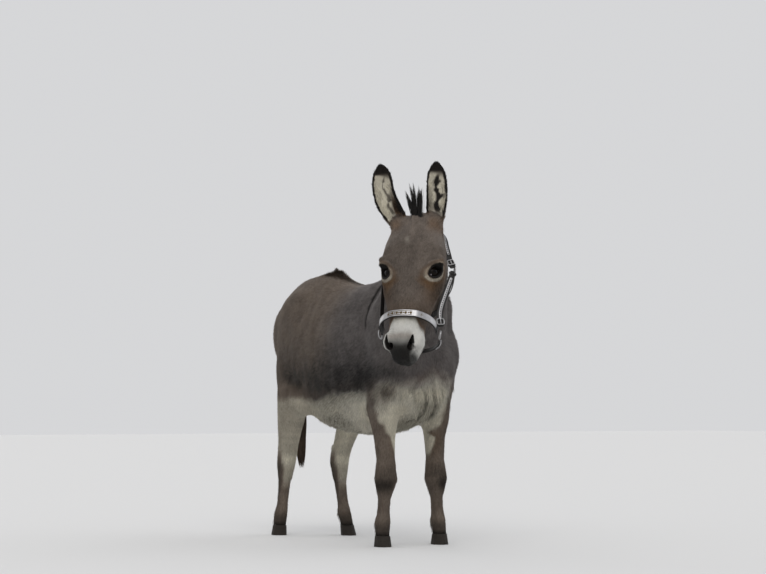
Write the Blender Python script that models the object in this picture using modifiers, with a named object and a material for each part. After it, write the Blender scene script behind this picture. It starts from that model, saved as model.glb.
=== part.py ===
"""A miniature donkey standing in a show halter, life size, built as separate solids that meet with thin gaps.

Metres, +Z up. The donkey faces -Y and its left side is +X. The origin is on the floor, under the middle of its box.
The flesh is modelled whole from lofts and muscle masses, melted into one skin, and then parted where a person
would name its parts. The eyes, ears, hooves, mane, tail and halter are fitted to it.
"""

import math

import bmesh
import bpy
from mathutils import Matrix, Vector
from mathutils.bvhtree import BVHTree

# Driving dimensions
BACK_HEIGHT = 0.845  # lowest point of the back
WITHERS_HEIGHT = 0.870
CROUP_HEIGHT = 0.900
BELLY_HEIGHT = 0.350
BARREL_HALF_WIDTH = 0.186
HEAD_LENGTH = 0.465  # poll to upper lip
EAR_LENGTH = 0.195
EYE_RADIUS = 0.0225
HOOF_HEIGHT = 0.038

# Centre lines of the legs: height, side (distance out from the middle), forward (towards the head)
FRONT_LINE = {
    "left": (
        (0.540, 0.104, 0.250), (0.400, 0.106, 0.268), (0.335, 0.101, 0.271), (0.270, 0.099, 0.278),
        (0.215, 0.097, 0.284), (0.150, 0.100, 0.284), (0.086, 0.104, 0.286), (0.045, 0.106, 0.290), (0.0, 0.105, 0.294),
    ),
    "right": (
        (0.540, 0.102, 0.262), (0.400, 0.103, 0.284), (0.335, 0.098, 0.282), (0.270, 0.096, 0.285),
        (0.215, 0.095, 0.286), (0.150, 0.098, 0.281), (0.086, 0.102, 0.279), (0.045, 0.105, 0.281), (0.0, 0.107, 0.285),
    ),
}
HIND_LINE = {
    "left": (
        (0.520, 0.112, -0.180), (0.455, 0.110, -0.198), (0.360, 0.100, -0.244), (0.265, 0.088, -0.282),
        (0.165, 0.088, -0.272), (0.120, 0.088, -0.257), (0.080, 0.089, -0.248), (0.040, 0.092, -0.236), (0.0, 0.093, -0.226),
    ),
    "right": (
        (0.520, 0.106, -0.250), (0.455, 0.106, -0.264), (0.360, 0.093, -0.312), (0.265, 0.082, -0.348),
        (0.165, 0.085, -0.362), (0.120, 0.088, -0.364), (0.080, 0.092, -0.367), (0.040, 0.096, -0.371), (0.0, 0.098, -0.372),
    ),
}
STIFLE = {"left": -0.135, "right": -0.190}  # forward place of the stifle

# Head carriage: the neck bends to the donkey's right and the face looks further round
POLL = Vector((-0.1512, -0.5225, 1.015))
HEAD_YAW = math.radians(47)  # to the right of straight ahead
FACE_DROP = math.radians(65)  # below the horizon

GAP = 0.0004  # between neighbouring solids
VOXEL = 0.0045
FLESH_TRIANGLES = 2600

LEATHER = 0.003  # thickness of the halter's straps
STRAP_WIDTH = 0.019
NOSEBAND_WIDTH = 0.024
PLATE = 0.0012  # thickness of the metal plates
RING_WIRE = 0.0022

SIDES = {"left": 1, "right": -1}

FACING = Vector((-math.sin(HEAD_YAW), -math.cos(HEAD_YAW), 0))
HEAD_AXIS = FACING * math.cos(FACE_DROP) - Vector((0, 0, math.sin(FACE_DROP)))
HEAD_UP = FACING * math.sin(FACE_DROP) + Vector((0, 0, math.cos(FACE_DROP)))
HEAD_LEFT = Vector((math.cos(HEAD_YAW), -math.sin(HEAD_YAW), 0))


# ---------------------------------------------------------------- places


def at(side, forward, height):
    """A point of the body: side is +left, forward is towards the head."""
    return Vector((side, -forward, height))


def on_head(along, side, up):
    """A point of the head: along runs from the poll to the lips, up is out of the face."""
    return POLL + HEAD_AXIS * along + HEAD_LEFT * side + HEAD_UP * up


def blend(table, at_value):
    """Linear interpolation in a table of (value, numbers...) rows that rise or fall in value."""
    rows = sorted(table)
    if at_value <= rows[0][0]:
        return rows[0][1:]
    for low, high in zip(rows, rows[1:]):
        if at_value <= high[0]:
            share = (at_value - low[0]) / (high[0] - low[0])
            return tuple(a + (b - a) * share for a, b in zip(low[1:], high[1:]))
    return rows[-1][1:]


# ---------------------------------------------------------------- shapes


def add_object(name, mesh):
    made = bpy.data.objects.new(name, mesh)
    bpy.context.scene.collection.objects.link(made)
    return made


def from_bmesh(name, bm):
    bmesh.ops.recalc_face_normals(bm, faces=bm.faces)
    mesh = bpy.data.meshes.new(name)
    bm.to_mesh(mesh)
    bm.free()
    return add_object(name, mesh)


def oval(centre, across, up, half_width, above, below, power_above=2.0, power_below=2.0, count=24):
    """A ring of points: an oval whose upper and lower halves differ in height and squareness."""
    ring = []
    for index in range(count):
        angle = 2 * math.pi * index / count
        c, s = math.cos(angle), math.sin(angle)
        power = power_above if s >= 0 else power_below
        reach = above if s >= 0 else below
        x = math.copysign(abs(c) ** (2 / power), c) * half_width
        y = math.copysign(abs(s) ** (2 / power), s) * reach
        ring.append(centre + across * x + up * y)
    return ring


def loft(name, rings):
    """A closed skin through rings of equal count, with a cap at each end."""
    bm = bmesh.new()
    rows = [[bm.verts.new(p) for p in ring] for ring in rings]
    for low, high in zip(rows, rows[1:]):
        for index in range(len(low)):
            after = (index + 1) % len(low)
            bm.faces.new((low[index], low[after], high[after], high[index]))
    bm.faces.new(reversed(rows[0]))
    bm.faces.new(rows[-1])
    return from_bmesh(name, bm)


def mass(name, centre, axes, radii, detail=12):
    """An ellipsoid of muscle with its three radii along three axes."""
    bm = bmesh.new()
    bmesh.ops.create_uvsphere(bm, u_segments=detail * 2, v_segments=detail, radius=1)
    turn = Matrix([axis.normalized() * radius for axis, radius in zip(axes, radii)]).transposed().to_4x4()
    bmesh.ops.transform(bm, matrix=Matrix.Translation(centre) @ turn, verts=bm.verts)
    return from_bmesh(name, bm)


def body_mass(name, side, forward, height, radii, tilt=0.0):
    """A mass on the body. Radii run across, fore and aft, and up; tilt leans its top forwards, in degrees."""
    lean = math.radians(tilt)
    fore = Vector((0, -math.cos(lean), -math.sin(lean)))
    up = Vector((0, -math.sin(lean), math.cos(lean)))
    return mass(name, at(side, forward, height), (Vector((1, 0, 0)), fore, up), radii)


def head_mass(name, along, side, up, radii, splay=0.0, drop=0.0, detail=12):
    """A mass on the head. Radii run along, across and up; splay turns it outwards, and drop turns its front down."""
    turn = Matrix.Rotation(math.radians(splay), 3, HEAD_UP) @ Matrix.Rotation(math.radians(drop), 3, HEAD_LEFT)
    axes = (turn @ HEAD_AXIS, turn @ HEAD_LEFT, turn @ HEAD_UP)
    return mass(name, on_head(along, side, up), axes, radii, detail)


def evaluated(thing):
    """Bakes the object's modifiers into its mesh."""
    bpy.context.view_layer.update()
    graph = bpy.context.evaluated_depsgraph_get()
    mesh = bpy.data.meshes.new_from_object(thing.evaluated_get(graph))
    thing.modifiers.clear()
    old = thing.data
    thing.data = mesh
    bpy.data.meshes.remove(old)
    return thing


def remove(*things):
    for thing in things:
        bpy.data.objects.remove(thing)


def joined(name, things):
    bm = bmesh.new()
    for thing in things:
        bm.from_mesh(thing.data)
    mesh = bpy.data.meshes.new(name)
    bm.to_mesh(mesh)
    bm.free()
    remove(*things)
    return add_object(name, mesh)


def boolean(thing, other, operation):
    modifier = thing.modifiers.new("Boolean", "BOOLEAN")
    modifier.operation = operation
    modifier.object = other
    modifier.solver = "EXACT"
    return evaluated(thing)


def copy_of(thing, name):
    return add_object(name, thing.data.copy())


def swollen(thing, by):
    """A helper copy, grown outwards by a distance."""
    bigger = copy_of(thing, thing.name + "_swollen")
    modifier = bigger.modifiers.new("Displace", "DISPLACE")
    modifier.strength = by
    modifier.mid_level = 0
    return evaluated(bigger)


def cut_back(thing, *neighbours):
    """Takes from thing what its neighbours fill, and leaves the gap."""
    for neighbour in neighbours:
        cutter = swollen(neighbour, GAP)
        boolean(thing, cutter, "DIFFERENCE")
        remove(cutter)
    return thing


def tidied(thing):
    """Merges stray points, closes the mesh and keeps its largest body."""
    bm = bmesh.new()
    bm.from_mesh(thing.data)
    bmesh.ops.remove_doubles(bm, verts=bm.verts, dist=0.00005)
    bmesh.ops.dissolve_degenerate(bm, edges=bm.edges, dist=0.00005)
    islands, left = [], set(bm.verts)
    while left:
        island, edge = set(), [left.pop()]
        while edge:
            vert = edge.pop()
            island.add(vert)
            for link in vert.link_edges:
                other = link.other_vert(vert)
                if other in left:
                    left.discard(other)
                    edge.append(other)
        islands.append(island)
    largest = max(islands, key=len)
    bmesh.ops.delete(bm, geom=[v for v in bm.verts if v not in largest], context="VERTS")
    bmesh.ops.recalc_face_normals(bm, faces=bm.faces)
    bm.to_mesh(thing.data)
    bm.free()
    return thing


def prism(name, outline, low, high):
    """An outline in the side view, as (forward, height) points, extruded from one side distance to another."""
    bm = bmesh.new()
    bottom = [bm.verts.new(at(low, f, z)) for f, z in outline]
    top = [bm.verts.new(at(high, f, z)) for f, z in outline]
    count = len(outline)
    bm.faces.new(bottom)
    bm.faces.new(reversed(top))
    for index in range(count):
        after = (index + 1) % count
        bm.faces.new((bottom[index], top[index], top[after], bottom[after]))
    return from_bmesh(name, bm)


def half_beyond(thing, name, point, normal):
    """The closed half of a solid beyond a plane, as a new object."""
    half = copy_of(thing, name)
    bm = bmesh.new()
    bm.from_mesh(half.data)
    cut = bmesh.ops.bisect_plane(
        bm, geom=bm.verts[:] + bm.edges[:] + bm.faces[:], plane_co=point, plane_no=normal, clear_inner=True
    )
    rim = [g for g in cut["geom_cut"] if isinstance(g, bmesh.types.BMEdge) and g.is_boundary]
    bmesh.ops.holes_fill(bm, edges=rim, sides=0)
    bmesh.ops.recalc_face_normals(bm, faces=bm.faces)
    bm.to_mesh(half.data)
    bm.free()
    return half


def parted(thing, name, point, normal):
    """Parts a solid by a plane. What lies along the normal becomes a new object with this name."""
    normal = normal.normalized()
    beyond = half_beyond(thing, name, point + normal * GAP / 2, normal)
    kept = half_beyond(thing, thing.name + "_rest", point - normal * GAP / 2, -normal)
    old, thing.data = thing.data, kept.data
    remove(kept)
    bpy.data.meshes.remove(old)
    return beyond


def carved(thing, name, region):
    """Parts a solid by a closed region. What lies inside becomes a new object with this name."""
    inside = boolean(copy_of(thing, name), region, "INTERSECT")
    grown = swollen(region, GAP)
    boolean(thing, grown, "DIFFERENCE")
    remove(region, grown)
    return tidied(inside)


# ---------------------------------------------------------------- flesh


def trunk():
    # forward, top, bottom, half width, height of the widest level, squareness of the upper half
    stations = (
        (-0.446, 0.770, 0.640, 0.028, 0.700, 2.0),
        (-0.424, 0.824, 0.570, 0.070, 0.690, 1.9),
        (-0.380, 0.866, 0.480, 0.108, 0.690, 1.8),
        (-0.310, 0.892, 0.428, 0.134, 0.680, 1.8),
        (-0.215, CROUP_HEIGHT, 0.392, 0.149, 0.650, 1.8),
        (-0.130, 0.890, 0.369, 0.166, 0.610, 1.8),
        (-0.050, 0.862, 0.355, 0.180, 0.585, 1.9),
        (0.030, BACK_HEIGHT, BELLY_HEIGHT, BARREL_HALF_WIDTH, 0.575, 2.0),
        (0.110, 0.850, 0.347, 0.181, 0.570, 2.0),
        (0.190, WITHERS_HEIGHT, 0.356, 0.164, 0.565, 1.7),
        (0.260, 0.868, 0.373, 0.144, 0.575, 1.6),
        (0.325, 0.820, 0.402, 0.122, 0.590, 1.8),
        (0.375, 0.740, 0.425, 0.092, 0.590, 2.0),
        (0.405, 0.660, 0.490, 0.045, 0.590, 2.0),
    )
    rings = []
    for forward, top, bottom, half_width, widest, power in stations:
        centre = at(0, forward, widest)
        rings.append(
            oval(centre, Vector((1, 0, 0)), Vector((0, 0, 1)), half_width, top - widest, widest - bottom, power, 2.2)
        )
    return loft("trunk_loft", rings)


NECK_PATH = (at(0, 0.200, 0.650), at(0.0, 0.360, 0.745), at(-0.045, 0.425, 0.860), at(-0.088, 0.458, 0.955))


def neck_place(share):
    """Centre, across axis and up axis of the neck at a share of its length, on a cubic curve."""
    a, b, c, d = NECK_PATH
    u = 1 - share
    centre = a * u**3 + b * 3 * u * u * share + c * 3 * u * share**2 + d * share**3
    tangent = ((b - a) * u * u + (c - b) * 2 * u * share + (d - c) * share**2).normalized()
    across = tangent.cross(Vector((0, 0, 1))).normalized() * -1
    return centre, across, across.cross(tangent).normalized() * -1


def neck_size(share):
    """Half width, and depths above and below the centre line."""
    return blend(
        (
            (0.00, 0.128, 0.195, 0.185),
            (0.30, 0.102, 0.152, 0.152),
            (0.60, 0.076, 0.113, 0.120),
            (0.85, 0.060, 0.092, 0.098),
            (1.00, 0.056, 0.078, 0.090),
        ),
        share,
    )


def neck():
    rings = []
    for step in range(11):
        share = step / 10
        centre, across, up = neck_place(share)
        half_width, above, below = neck_size(share)
        rings.append(oval(centre, across, up, half_width, above, below, 1.9, 2.1))
    return loft("neck_loft", rings)


def head():
    # along, up of the face line, up of the jaw line, half width, up of the widest level, squareness above and below
    stations = (
        (-0.030, -0.040, -0.120, 0.044, -0.080, 2.0, 2.0),
        (-0.008, -0.010, -0.145, 0.066, -0.075, 2.0, 2.0),
        (0.030, 0.008, -0.168, 0.083, -0.070, 2.1, 2.0),
        (0.075, 0.016, -0.188, 0.094, -0.066, 2.2, 1.9),
        (0.115, 0.014, -0.197, 0.100, -0.064, 2.2, 1.8),
        (0.150, 0.010, -0.196, 0.102, -0.064, 2.2, 1.75),
        (0.185, 0.006, -0.186, 0.097, -0.066, 2.2, 1.75),
        (0.225, 0.002, -0.168, 0.084, -0.068, 2.2, 1.85),
        (0.260, -0.001, -0.148, 0.075, -0.066, 2.2, 1.9),
        (0.295, -0.004, -0.130, 0.066, -0.064, 2.2, 2.0),
        (0.335, -0.006, -0.117, 0.056, -0.062, 2.2, 2.1),
        (0.365, -0.008, -0.110, 0.054, -0.060, 2.2, 2.2),
        (0.400, -0.012, -0.107, 0.053, -0.060, 2.3, 2.3),
        (0.430, -0.024, -0.104, 0.047, -0.064, 2.4, 2.3),
        (0.452, -0.042, -0.097, 0.038, -0.070, 2.2, 2.2),
        (HEAD_LENGTH, -0.060, -0.086, 0.018, -0.073, 2.0, 2.0),
    )
    rings = []
    for along, top, bottom, half_width, widest, above, below in stations:
        centre = on_head(along, 0, widest)
        rings.append(oval(centre, HEAD_LEFT, HEAD_UP, half_width, top - widest, widest - bottom, above, below))
    return loft("head_loft", rings)


EYE_PLACE = (0.174, 0.0600, -0.0420)  # middle of the eyeball: along, side, up


def eye_frame(sign):
    """The way the eye looks, the line from its inner to its outer corner, and the way up across the lids."""
    look = (HEAD_LEFT * sign * 0.76 + HEAD_AXIS * 0.06 + HEAD_UP * 0.62).normalized()
    slope = HEAD_LEFT * sign * 0.50 - HEAD_AXIS * 0.62 - HEAD_UP * 0.42
    slope = (slope - look * slope.dot(look)).normalized()
    return look, slope, look.cross(slope)


def head_masses():
    made = [
        head_mass("forehead", 0.095, 0, -0.035, (0.085, 0.072, 0.054)),
        head_mass("upper_lip", 0.436, 0, -0.062, (0.031, 0.044, 0.036), drop=-20),
        head_mass("lower_lip_mass", 0.426, 0, -0.102, (0.031, 0.033, 0.018), drop=8),
        head_mass("chin", 0.392, 0, -0.112, (0.030, 0.030, 0.021)),
    ]
    along, side, up = EYE_PLACE
    for name, sign in SIDES.items():
        look, slope, rise = eye_frame(sign)
        centre = on_head(along, sign * side, up)
        made += [
            mass("lids_" + name, centre - look * 0.001, (slope, rise, look), (0.033, 0.026, 0.024)),
            head_mass("brow_" + name, 0.150, sign * 0.080, -0.028, (0.034, 0.022, 0.018), -22 * sign),
            head_mass("cheekbone_" + name, 0.215, sign * 0.077, -0.072, (0.070, 0.014, 0.016), -14 * sign, -6),
            head_mass("cheek_" + name, 0.120, sign * 0.050, -0.118, (0.085, 0.042, 0.078)),
            head_mass("nostril_wing_" + name, 0.402, sign * 0.040, -0.044, (0.034, 0.023, 0.030), 6 * sign, -25),
            head_mass("lip_corner_" + name, 0.385, sign * 0.036, -0.086, (0.040, 0.018, 0.021), 6 * sign),
            head_mass("ear_root_" + name, 0.002, sign * 0.054, -0.048, (0.040, 0.028, 0.040)),
        ]
    return made


# Half across and half fore and aft of the legs at each height
FRONT_GIRTH = (
    (0.540, 0.050, 0.082), (0.450, 0.049, 0.068), (0.400, 0.044, 0.057), (0.340, 0.0325, 0.0405),
    (0.275, 0.0290, 0.0335), (0.245, 0.0345, 0.0365), (0.212, 0.0385, 0.0390), (0.182, 0.0305, 0.0320),
    (0.155, 0.0213, 0.0255), (0.110, 0.0203, 0.0245), (0.080, 0.0245, 0.0295), (0.060, 0.0228, 0.0265),
    (0.046, 0.0225, 0.0250), (HOOF_HEIGHT, 0.0240, 0.0275), (0.000, 0.0280, 0.0335),
)
HIND_GIRTH = (
    (0.520, 0.052, 0.095), (0.455, 0.049, 0.082), (0.400, 0.042, 0.066), (0.350, 0.036, 0.054),
    (0.310, 0.0315, 0.047), (0.280, 0.0315, 0.045), (0.250, 0.0325, 0.041), (0.220, 0.0285, 0.034),
    (0.185, 0.0213, 0.0265), (0.110, 0.0192, 0.0245), (0.080, 0.0230, 0.0285), (0.060, 0.0222, 0.0260),
    (0.046, 0.0220, 0.0246), (HOOF_HEIGHT, 0.0236, 0.0268), (0.000, 0.0270, 0.0325),
)


def leg(name, sign, line, girth):
    rings = []
    for height, half_across, half_fore in girth:
        side, forward = blend(line, height)
        centre = at(sign * side, forward, height)
        rings.append(oval(centre, Vector((1, 0, 0)), Vector((0, -1, 0)), half_across, half_fore, half_fore))
    return loft(name, rings)


def legs():
    made = []
    for name, sign in SIDES.items():
        made.append(leg("front_leg_" + name, sign, FRONT_LINE[name], FRONT_GIRTH))
        made.append(leg("hind_leg_" + name, sign, HIND_LINE[name], HIND_GIRTH))
    return made


def limb_masses():
    made = [
        body_mass("breast", 0, 0.352, 0.500, (0.085, 0.062, 0.110)),
        body_mass("brisket", 0, 0.310, 0.448, (0.072, 0.085, 0.062)),
        body_mass("withers", 0, 0.205, 0.800, (0.050, 0.110, 0.072)),
    ]
    for name, sign in SIDES.items():
        knee_side, knee = blend(FRONT_LINE[name], 0.215)
        hock_side, hock = blend(HIND_LINE[name], 0.270)
        stifle = STIFLE[name]
        made += [
            body_mass("shoulder_" + name, sign * 0.094, 0.262, 0.660, (0.050, 0.085, 0.180), 24),
            body_mass("shoulder_point_" + name, sign * 0.102, 0.305, 0.610, (0.056, 0.080, 0.100), -10),
            body_mass("arm_" + name, sign * 0.098, 0.285, 0.520, (0.050, 0.080, 0.082), -30),
            body_mass("breast_" + name, sign * 0.052, 0.368, 0.555, (0.056, 0.050, 0.085), 10),
            body_mass("elbow_" + name, sign * 0.100, 0.215, 0.452, (0.040, 0.048, 0.046)),
            body_mass("knee_" + name, sign * knee_side, knee + 0.010, 0.215, (0.033, 0.027, 0.034)),
            body_mass("hip_" + name, sign * 0.086, -0.230, 0.715, (0.062, 0.150, 0.130), 12),
            body_mass("thigh_" + name, sign * 0.084, -0.270, 0.590, (0.057, 0.120, 0.170), 14),
            body_mass("buttock_" + name, sign * 0.060, -0.380, 0.690, (0.050, 0.074, 0.115)),
            body_mass("stifle_" + name, sign * 0.110, stifle - 0.010, 0.480, (0.044, 0.062, 0.080), 20),
            body_mass("hock_point_" + name, sign * hock_side, hock - 0.033, 0.292, (0.013, 0.016, 0.028), -14),
        ]
    return made


def tail_head():
    """The stub that the dock grows from."""
    return body_mass("tail_head", 0, -0.436, 0.800, (0.030, 0.050, 0.030), 30)


def melted(things):
    """One smooth skin over all these shapes, coarse on the trunk and finer on the head."""
    flesh = joined("flesh", things)
    remesh = flesh.modifiers.new("Remesh", "REMESH")
    remesh.mode = "VOXEL"
    remesh.voxel_size = VOXEL
    evaluated(flesh)
    soft = flesh.vertex_groups.new(name="soft")
    thin = flesh.vertex_groups.new(name="thin")
    eyes = [on_head(EYE_PLACE[0], sign * EYE_PLACE[1], EYE_PLACE[2]) for sign in SIDES.values()]
    nose = on_head(0.42, 0, -0.06)
    for vert in flesh.data.vertices:
        from_poll = vert.co - POLL
        ahead, above, aside = (from_poll.dot(way) for way in (HEAD_AXIS, HEAD_UP, HEAD_LEFT))
        on_face = ahead > -0.04 and above > -0.21 and abs(aside) < 0.13
        if on_face:
            softness = 0.04
            near = min((vert.co - p).length for p in (*eyes, nose))
            detail = 1.0 if near < 0.06 else 0.7
        else:
            softness = min(1, max(0.05, (vert.co.z - 0.30) / 0.16))
            detail = 0.35 if vert.co.z < 0.34 else 0.0
        soft.add([vert.index], softness, "REPLACE")
        thin.add([vert.index], 1 - 0.8 * detail, "REPLACE")
    smooth = flesh.modifiers.new("Smooth", "SMOOTH")
    smooth.factor = 0.5
    smooth.iterations = 130
    smooth.vertex_group = "soft"
    evaluated(flesh)
    decimate = flesh.modifiers.new("Decimate", "DECIMATE")
    decimate.vertex_group = "thin"
    decimate.vertex_group_factor = 0.0008
    flesh.data.calc_loop_triangles()
    decimate.ratio = FLESH_TRIANGLES / len(flesh.data.loop_triangles)
    evaluated(flesh)
    flesh.vertex_groups.clear()
    return tidied(flesh)


def flatten_feet(flesh):
    """Lays the soles on the floor."""
    sole = half_beyond(flesh, "flesh_above_floor", Vector((0, 0, 0.0035)), Vector((0, 0, 1)))
    old, flesh.data = flesh.data, sole.data
    remove(sole)
    bpy.data.meshes.remove(old)


def part_legs(flesh):
    """Takes the legs off the body and divides each at the knee or hock, the fetlock and the hoof's top edge."""
    made = {}
    front = ((0.120, 0.430), (0.120, -0.1), (0.460, -0.1), (0.460, 0.405), (0.400, 0.455), (0.200, 0.470))
    hind = {
        "left": ((-0.050, 0.478), (-0.085, 0.408), (-0.120, 0.360), (-0.120, -0.1), (-0.550, -0.1), (-0.550, 0.610)),
        "right": ((-0.100, 0.490), (-0.130, 0.415), (-0.160, 0.360), (-0.160, -0.1), (-0.550, -0.1), (-0.550, 0.610)),
    }
    up = Vector((0, 0, 1))
    for name, sign in SIDES.items():
        inner, outer = sorted((sign * 0.052, sign * 0.30))
        made["front_" + name] = carved(flesh, f"front_{name}_forearm", prism("front_region", front, inner, outer))
        inner, outer = sorted((sign * GAP / 2, sign * 0.30))
        made["hind_" + name] = carved(flesh, f"hind_{name}_thigh", prism("hind_region", hind[name], inner, outer))
    divisions = (("cannon", {"front": 0.262, "hind": 0.305}), ("pastern", {"front": 0.100, "hind": 0.100}),
                 ("hoof", {"front": HOOF_HEIGHT, "hind": HOOF_HEIGHT}))
    pieces = []
    for leg, upper in made.items():
        pieces.append(upper)
        rest = upper
        for below, height in divisions:
            place = Vector((0, 0, height[leg.split("_")[0]]))
            piece = parted(rest, f"{leg}_{below}", place, -up)
            pieces.append(piece)
            rest = piece
    return pieces


def head_prism(name, outline, half_width):
    """An outline in the head's own side view, as (along, up) points, extruded across it."""
    bm = bmesh.new()
    right = [bm.verts.new(on_head(along, -half_width, up)) for along, up in outline]
    left = [bm.verts.new(on_head(along, half_width, up)) for along, up in outline]
    count = len(outline)
    bm.faces.new(right)
    bm.faces.new(reversed(left))
    for index in range(count):
        after = (index + 1) % count
        bm.faces.new((right[index], left[index], left[after], right[after]))
    return from_bmesh(name, bm)


def part_head(flesh):
    """Divides the flesh at the throat, the base of the neck, the muzzle and the mouth."""
    outline = ((-0.080, 0.100), (-0.042, 0.000), (0.080, -0.222), (0.200, -0.235), (0.520, -0.200), (0.520, 0.100))
    head_part = carved(flesh, "head", head_prism("head_region", outline, 0.20))
    centre, across, up = neck_place(0.30)
    along = across.cross(up).normalized()
    neck_part = parted(flesh, "neck", centre, along if along.z > 0 else -along)
    muzzle = parted(head_part, "muzzle", on_head(0.345, 0, 0), HEAD_AXIS)
    lip = parted(muzzle, "lower_lip", on_head(0.40, 0, -0.0865), -HEAD_UP + HEAD_AXIS * 0.05)
    return head_part, neck_part, muzzle, lip


# ---------------------------------------------------------------- eyes, ears and nostrils


def eyes(head_part):
    """Cuts the eye's opening and its socket into the head, and makes the eyeballs."""
    along, side, up = EYE_PLACE
    made = []
    for name, sign in SIDES.items():
        look, slope, rise = eye_frame(sign)
        centre = on_head(along, sign * side, up)
        opening = mass("opening", centre + look * EYE_RADIUS, (slope, rise, look), (0.0235, 0.0155, 0.0185), 7)
        socket = mass("socket", centre, (slope, rise, look), (EYE_RADIUS + GAP,) * 3, 7)
        boolean(head_part, opening, "DIFFERENCE")
        boolean(head_part, socket, "DIFFERENCE")
        remove(opening, socket)
        made.append(mass("eye_" + name, centre, (slope, rise, look), (EYE_RADIUS,) * 3, 7))
    tidied(head_part)
    return made


def nostrils(muzzle):
    for sign in SIDES.values():
        hole = head_mass("nostril", 0.426, sign * 0.034 - 0.004, -0.030, (0.021, 0.0075, 0.0125), 28 * sign, -62, 5)
        boolean(muzzle, hole, "DIFFERENCE")
        remove(hole)
    tidied(muzzle)


EAR_ROOT = (0.000, 0.058, -0.045)  # along, side, up
EAR_SWING = {"left": 0.006, "right": 0.021}  # how far the middle of the ear bows outwards


def ear(name):
    """A tall leaf-shaped cup, rolled shut at its root, with its opening turned forwards and a little outwards."""
    sign = SIDES[name]
    root = on_head(EAR_ROOT[0], sign * EAR_ROOT[1], EAR_ROOT[2])
    axis = (Vector((0, 0, 1)) + FACING * 0.36 + HEAD_LEFT * (sign * 0.155 - 0.065)).normalized()
    opening = (FACING * 0.95 + HEAD_LEFT * (sign * 0.24 + 0.10)).normalized()
    opening = (opening - axis * axis.dot(opening)).normalized()
    across = axis.cross(opening).normalized()
    # share of the length, half width, half depth, half turn of the wall in degrees, bow forwards
    stations = (
        (-0.12, 0.0220, 0.0210, 160, 0.000),
        (0.03, 0.0240, 0.0205, 148, 0.000),
        (0.14, 0.0262, 0.0195, 130, -0.003),
        (0.26, 0.0288, 0.0185, 115, -0.006),
        (0.40, 0.0314, 0.0175, 104, -0.008),
        (0.54, 0.0326, 0.0165, 96, -0.008),
        (0.68, 0.0312, 0.0150, 90, -0.006),
        (0.80, 0.0262, 0.0125, 84, -0.003),
        (0.90, 0.0170, 0.0095, 78, 0.001),
        (0.96, 0.0102, 0.0065, 72, 0.004),
        (1.00, 0.0035, 0.0030, 66, 0.006),
    )
    wall = 0.0055
    steps = 4
    rings = []
    for share, half_width, half_depth, half_turn, bow in stations:
        swing = EAR_SWING[name] * math.sin(math.pi * min(1, max(0, share)) ** 0.8)
        centre = root + axis * (share * EAR_LENGTH) + opening * bow + HEAD_LEFT * (sign * swing)
        thick = min(wall, half_depth * 0.62)
        outer, inner = [], []
        for step in range(-steps, steps + 1):
            angle = math.radians(half_turn) * step / steps
            c, s = math.cos(angle), math.sin(angle)
            outer.append(centre + across * (half_width * s) - opening * (half_depth * c))
            inner.append(centre + across * ((half_width - thick) * s) - opening * ((half_depth - thick) * c))
        rings.append(outer + inner[::-1])
    return loft("ear_" + name, rings)


# ---------------------------------------------------------------- mane, forelock and tail


def mane():
    """A short upright mane along the crest, from behind the poll to the withers."""
    rings = []
    steps = 12
    for step in range(steps + 1):
        share = 0.16 + 0.76 * step / steps
        centre, across, up = neck_place(share)
        crest = centre + up * (neck_size(share)[1] - 0.022)
        rise = 0.022 + 0.046 * math.sin(math.pi * min(1, 0.12 + 0.88 * step / steps) ** 0.7)
        rings.append(oval(crest, across, up, 0.018, rise, 0.006, 1.3, 2.0, 8))
    return loft("mane", rings)


def forelock():
    """A spiky tuft between the ears, fanned from side to side."""
    root = on_head(0.012, 0.008, -0.014)
    up = (Vector((0, 0, 1)) + FACING * 0.16).normalized()
    across = (HEAD_LEFT - up * up.dot(HEAD_LEFT)).normalized()
    out = across.cross(up).normalized()
    rings = []
    stations = ((0, 0.013, 0.013), (0.3, 0.018, 0.012), (0.7, 0.027, 0.009), (1.0, 0.024, 0.003))
    for share, half_width, half_depth in stations:
        centre = root + up * (0.108 * share) + across * (0.003 - 0.010 * share)
        rings.append(oval(centre, across, out, half_width, half_depth, half_depth, count=12))
    return loft("forelock", rings)


def croup_tuft():
    """The tuft of hair that stands on the spine over the croup, steep behind and falling away forwards."""
    rings = []
    # forward, half width, half height
    stations = (
        (-0.175, 0.004, 0.006), (-0.165, 0.008, 0.020), (-0.148, 0.009, 0.017), (-0.128, 0.008, 0.012),
        (-0.104, 0.004, 0.004),
    )
    across, up = Vector((1, 0, 0)), Vector((0, 0, 1))
    for forward, half_width, half_height in stations:
        centre = at(0, forward, 0.898)
        rings.append(oval(centre, across, up, half_width, half_height, half_height, count=8))
    return loft("croup_tuft", rings)


TAIL_LINE = (
    at(0, -0.405, 0.812), at(0, -0.454, 0.804), at(0.000, -0.484, 0.750), at(0.004, -0.485, 0.660),
    at(0.020, -0.478, 0.560), at(0.038, -0.470, 0.440), at(0.044, -0.466, 0.320), at(0.046, -0.462, 0.225),
)


def tail_piece(name, first, last, radii):
    """A stretch of the tail between two shares of its length, with radii at even steps."""
    rings = []
    count = len(radii) - 1
    for step, radius in enumerate(radii):
        share = first + (last - first) * step / count
        centre = tail_point(share)
        direction = (tail_point(min(1, share + 0.02)) - tail_point(max(0, share - 0.02))).normalized()
        across = Vector((1, 0, 0))
        out = across.cross(direction).normalized()
        across = direction.cross(out).normalized()
        rings.append(oval(centre, across, out, radius, radius * 0.85, radius * 0.85, count=12))
    return loft(name, rings)


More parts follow.
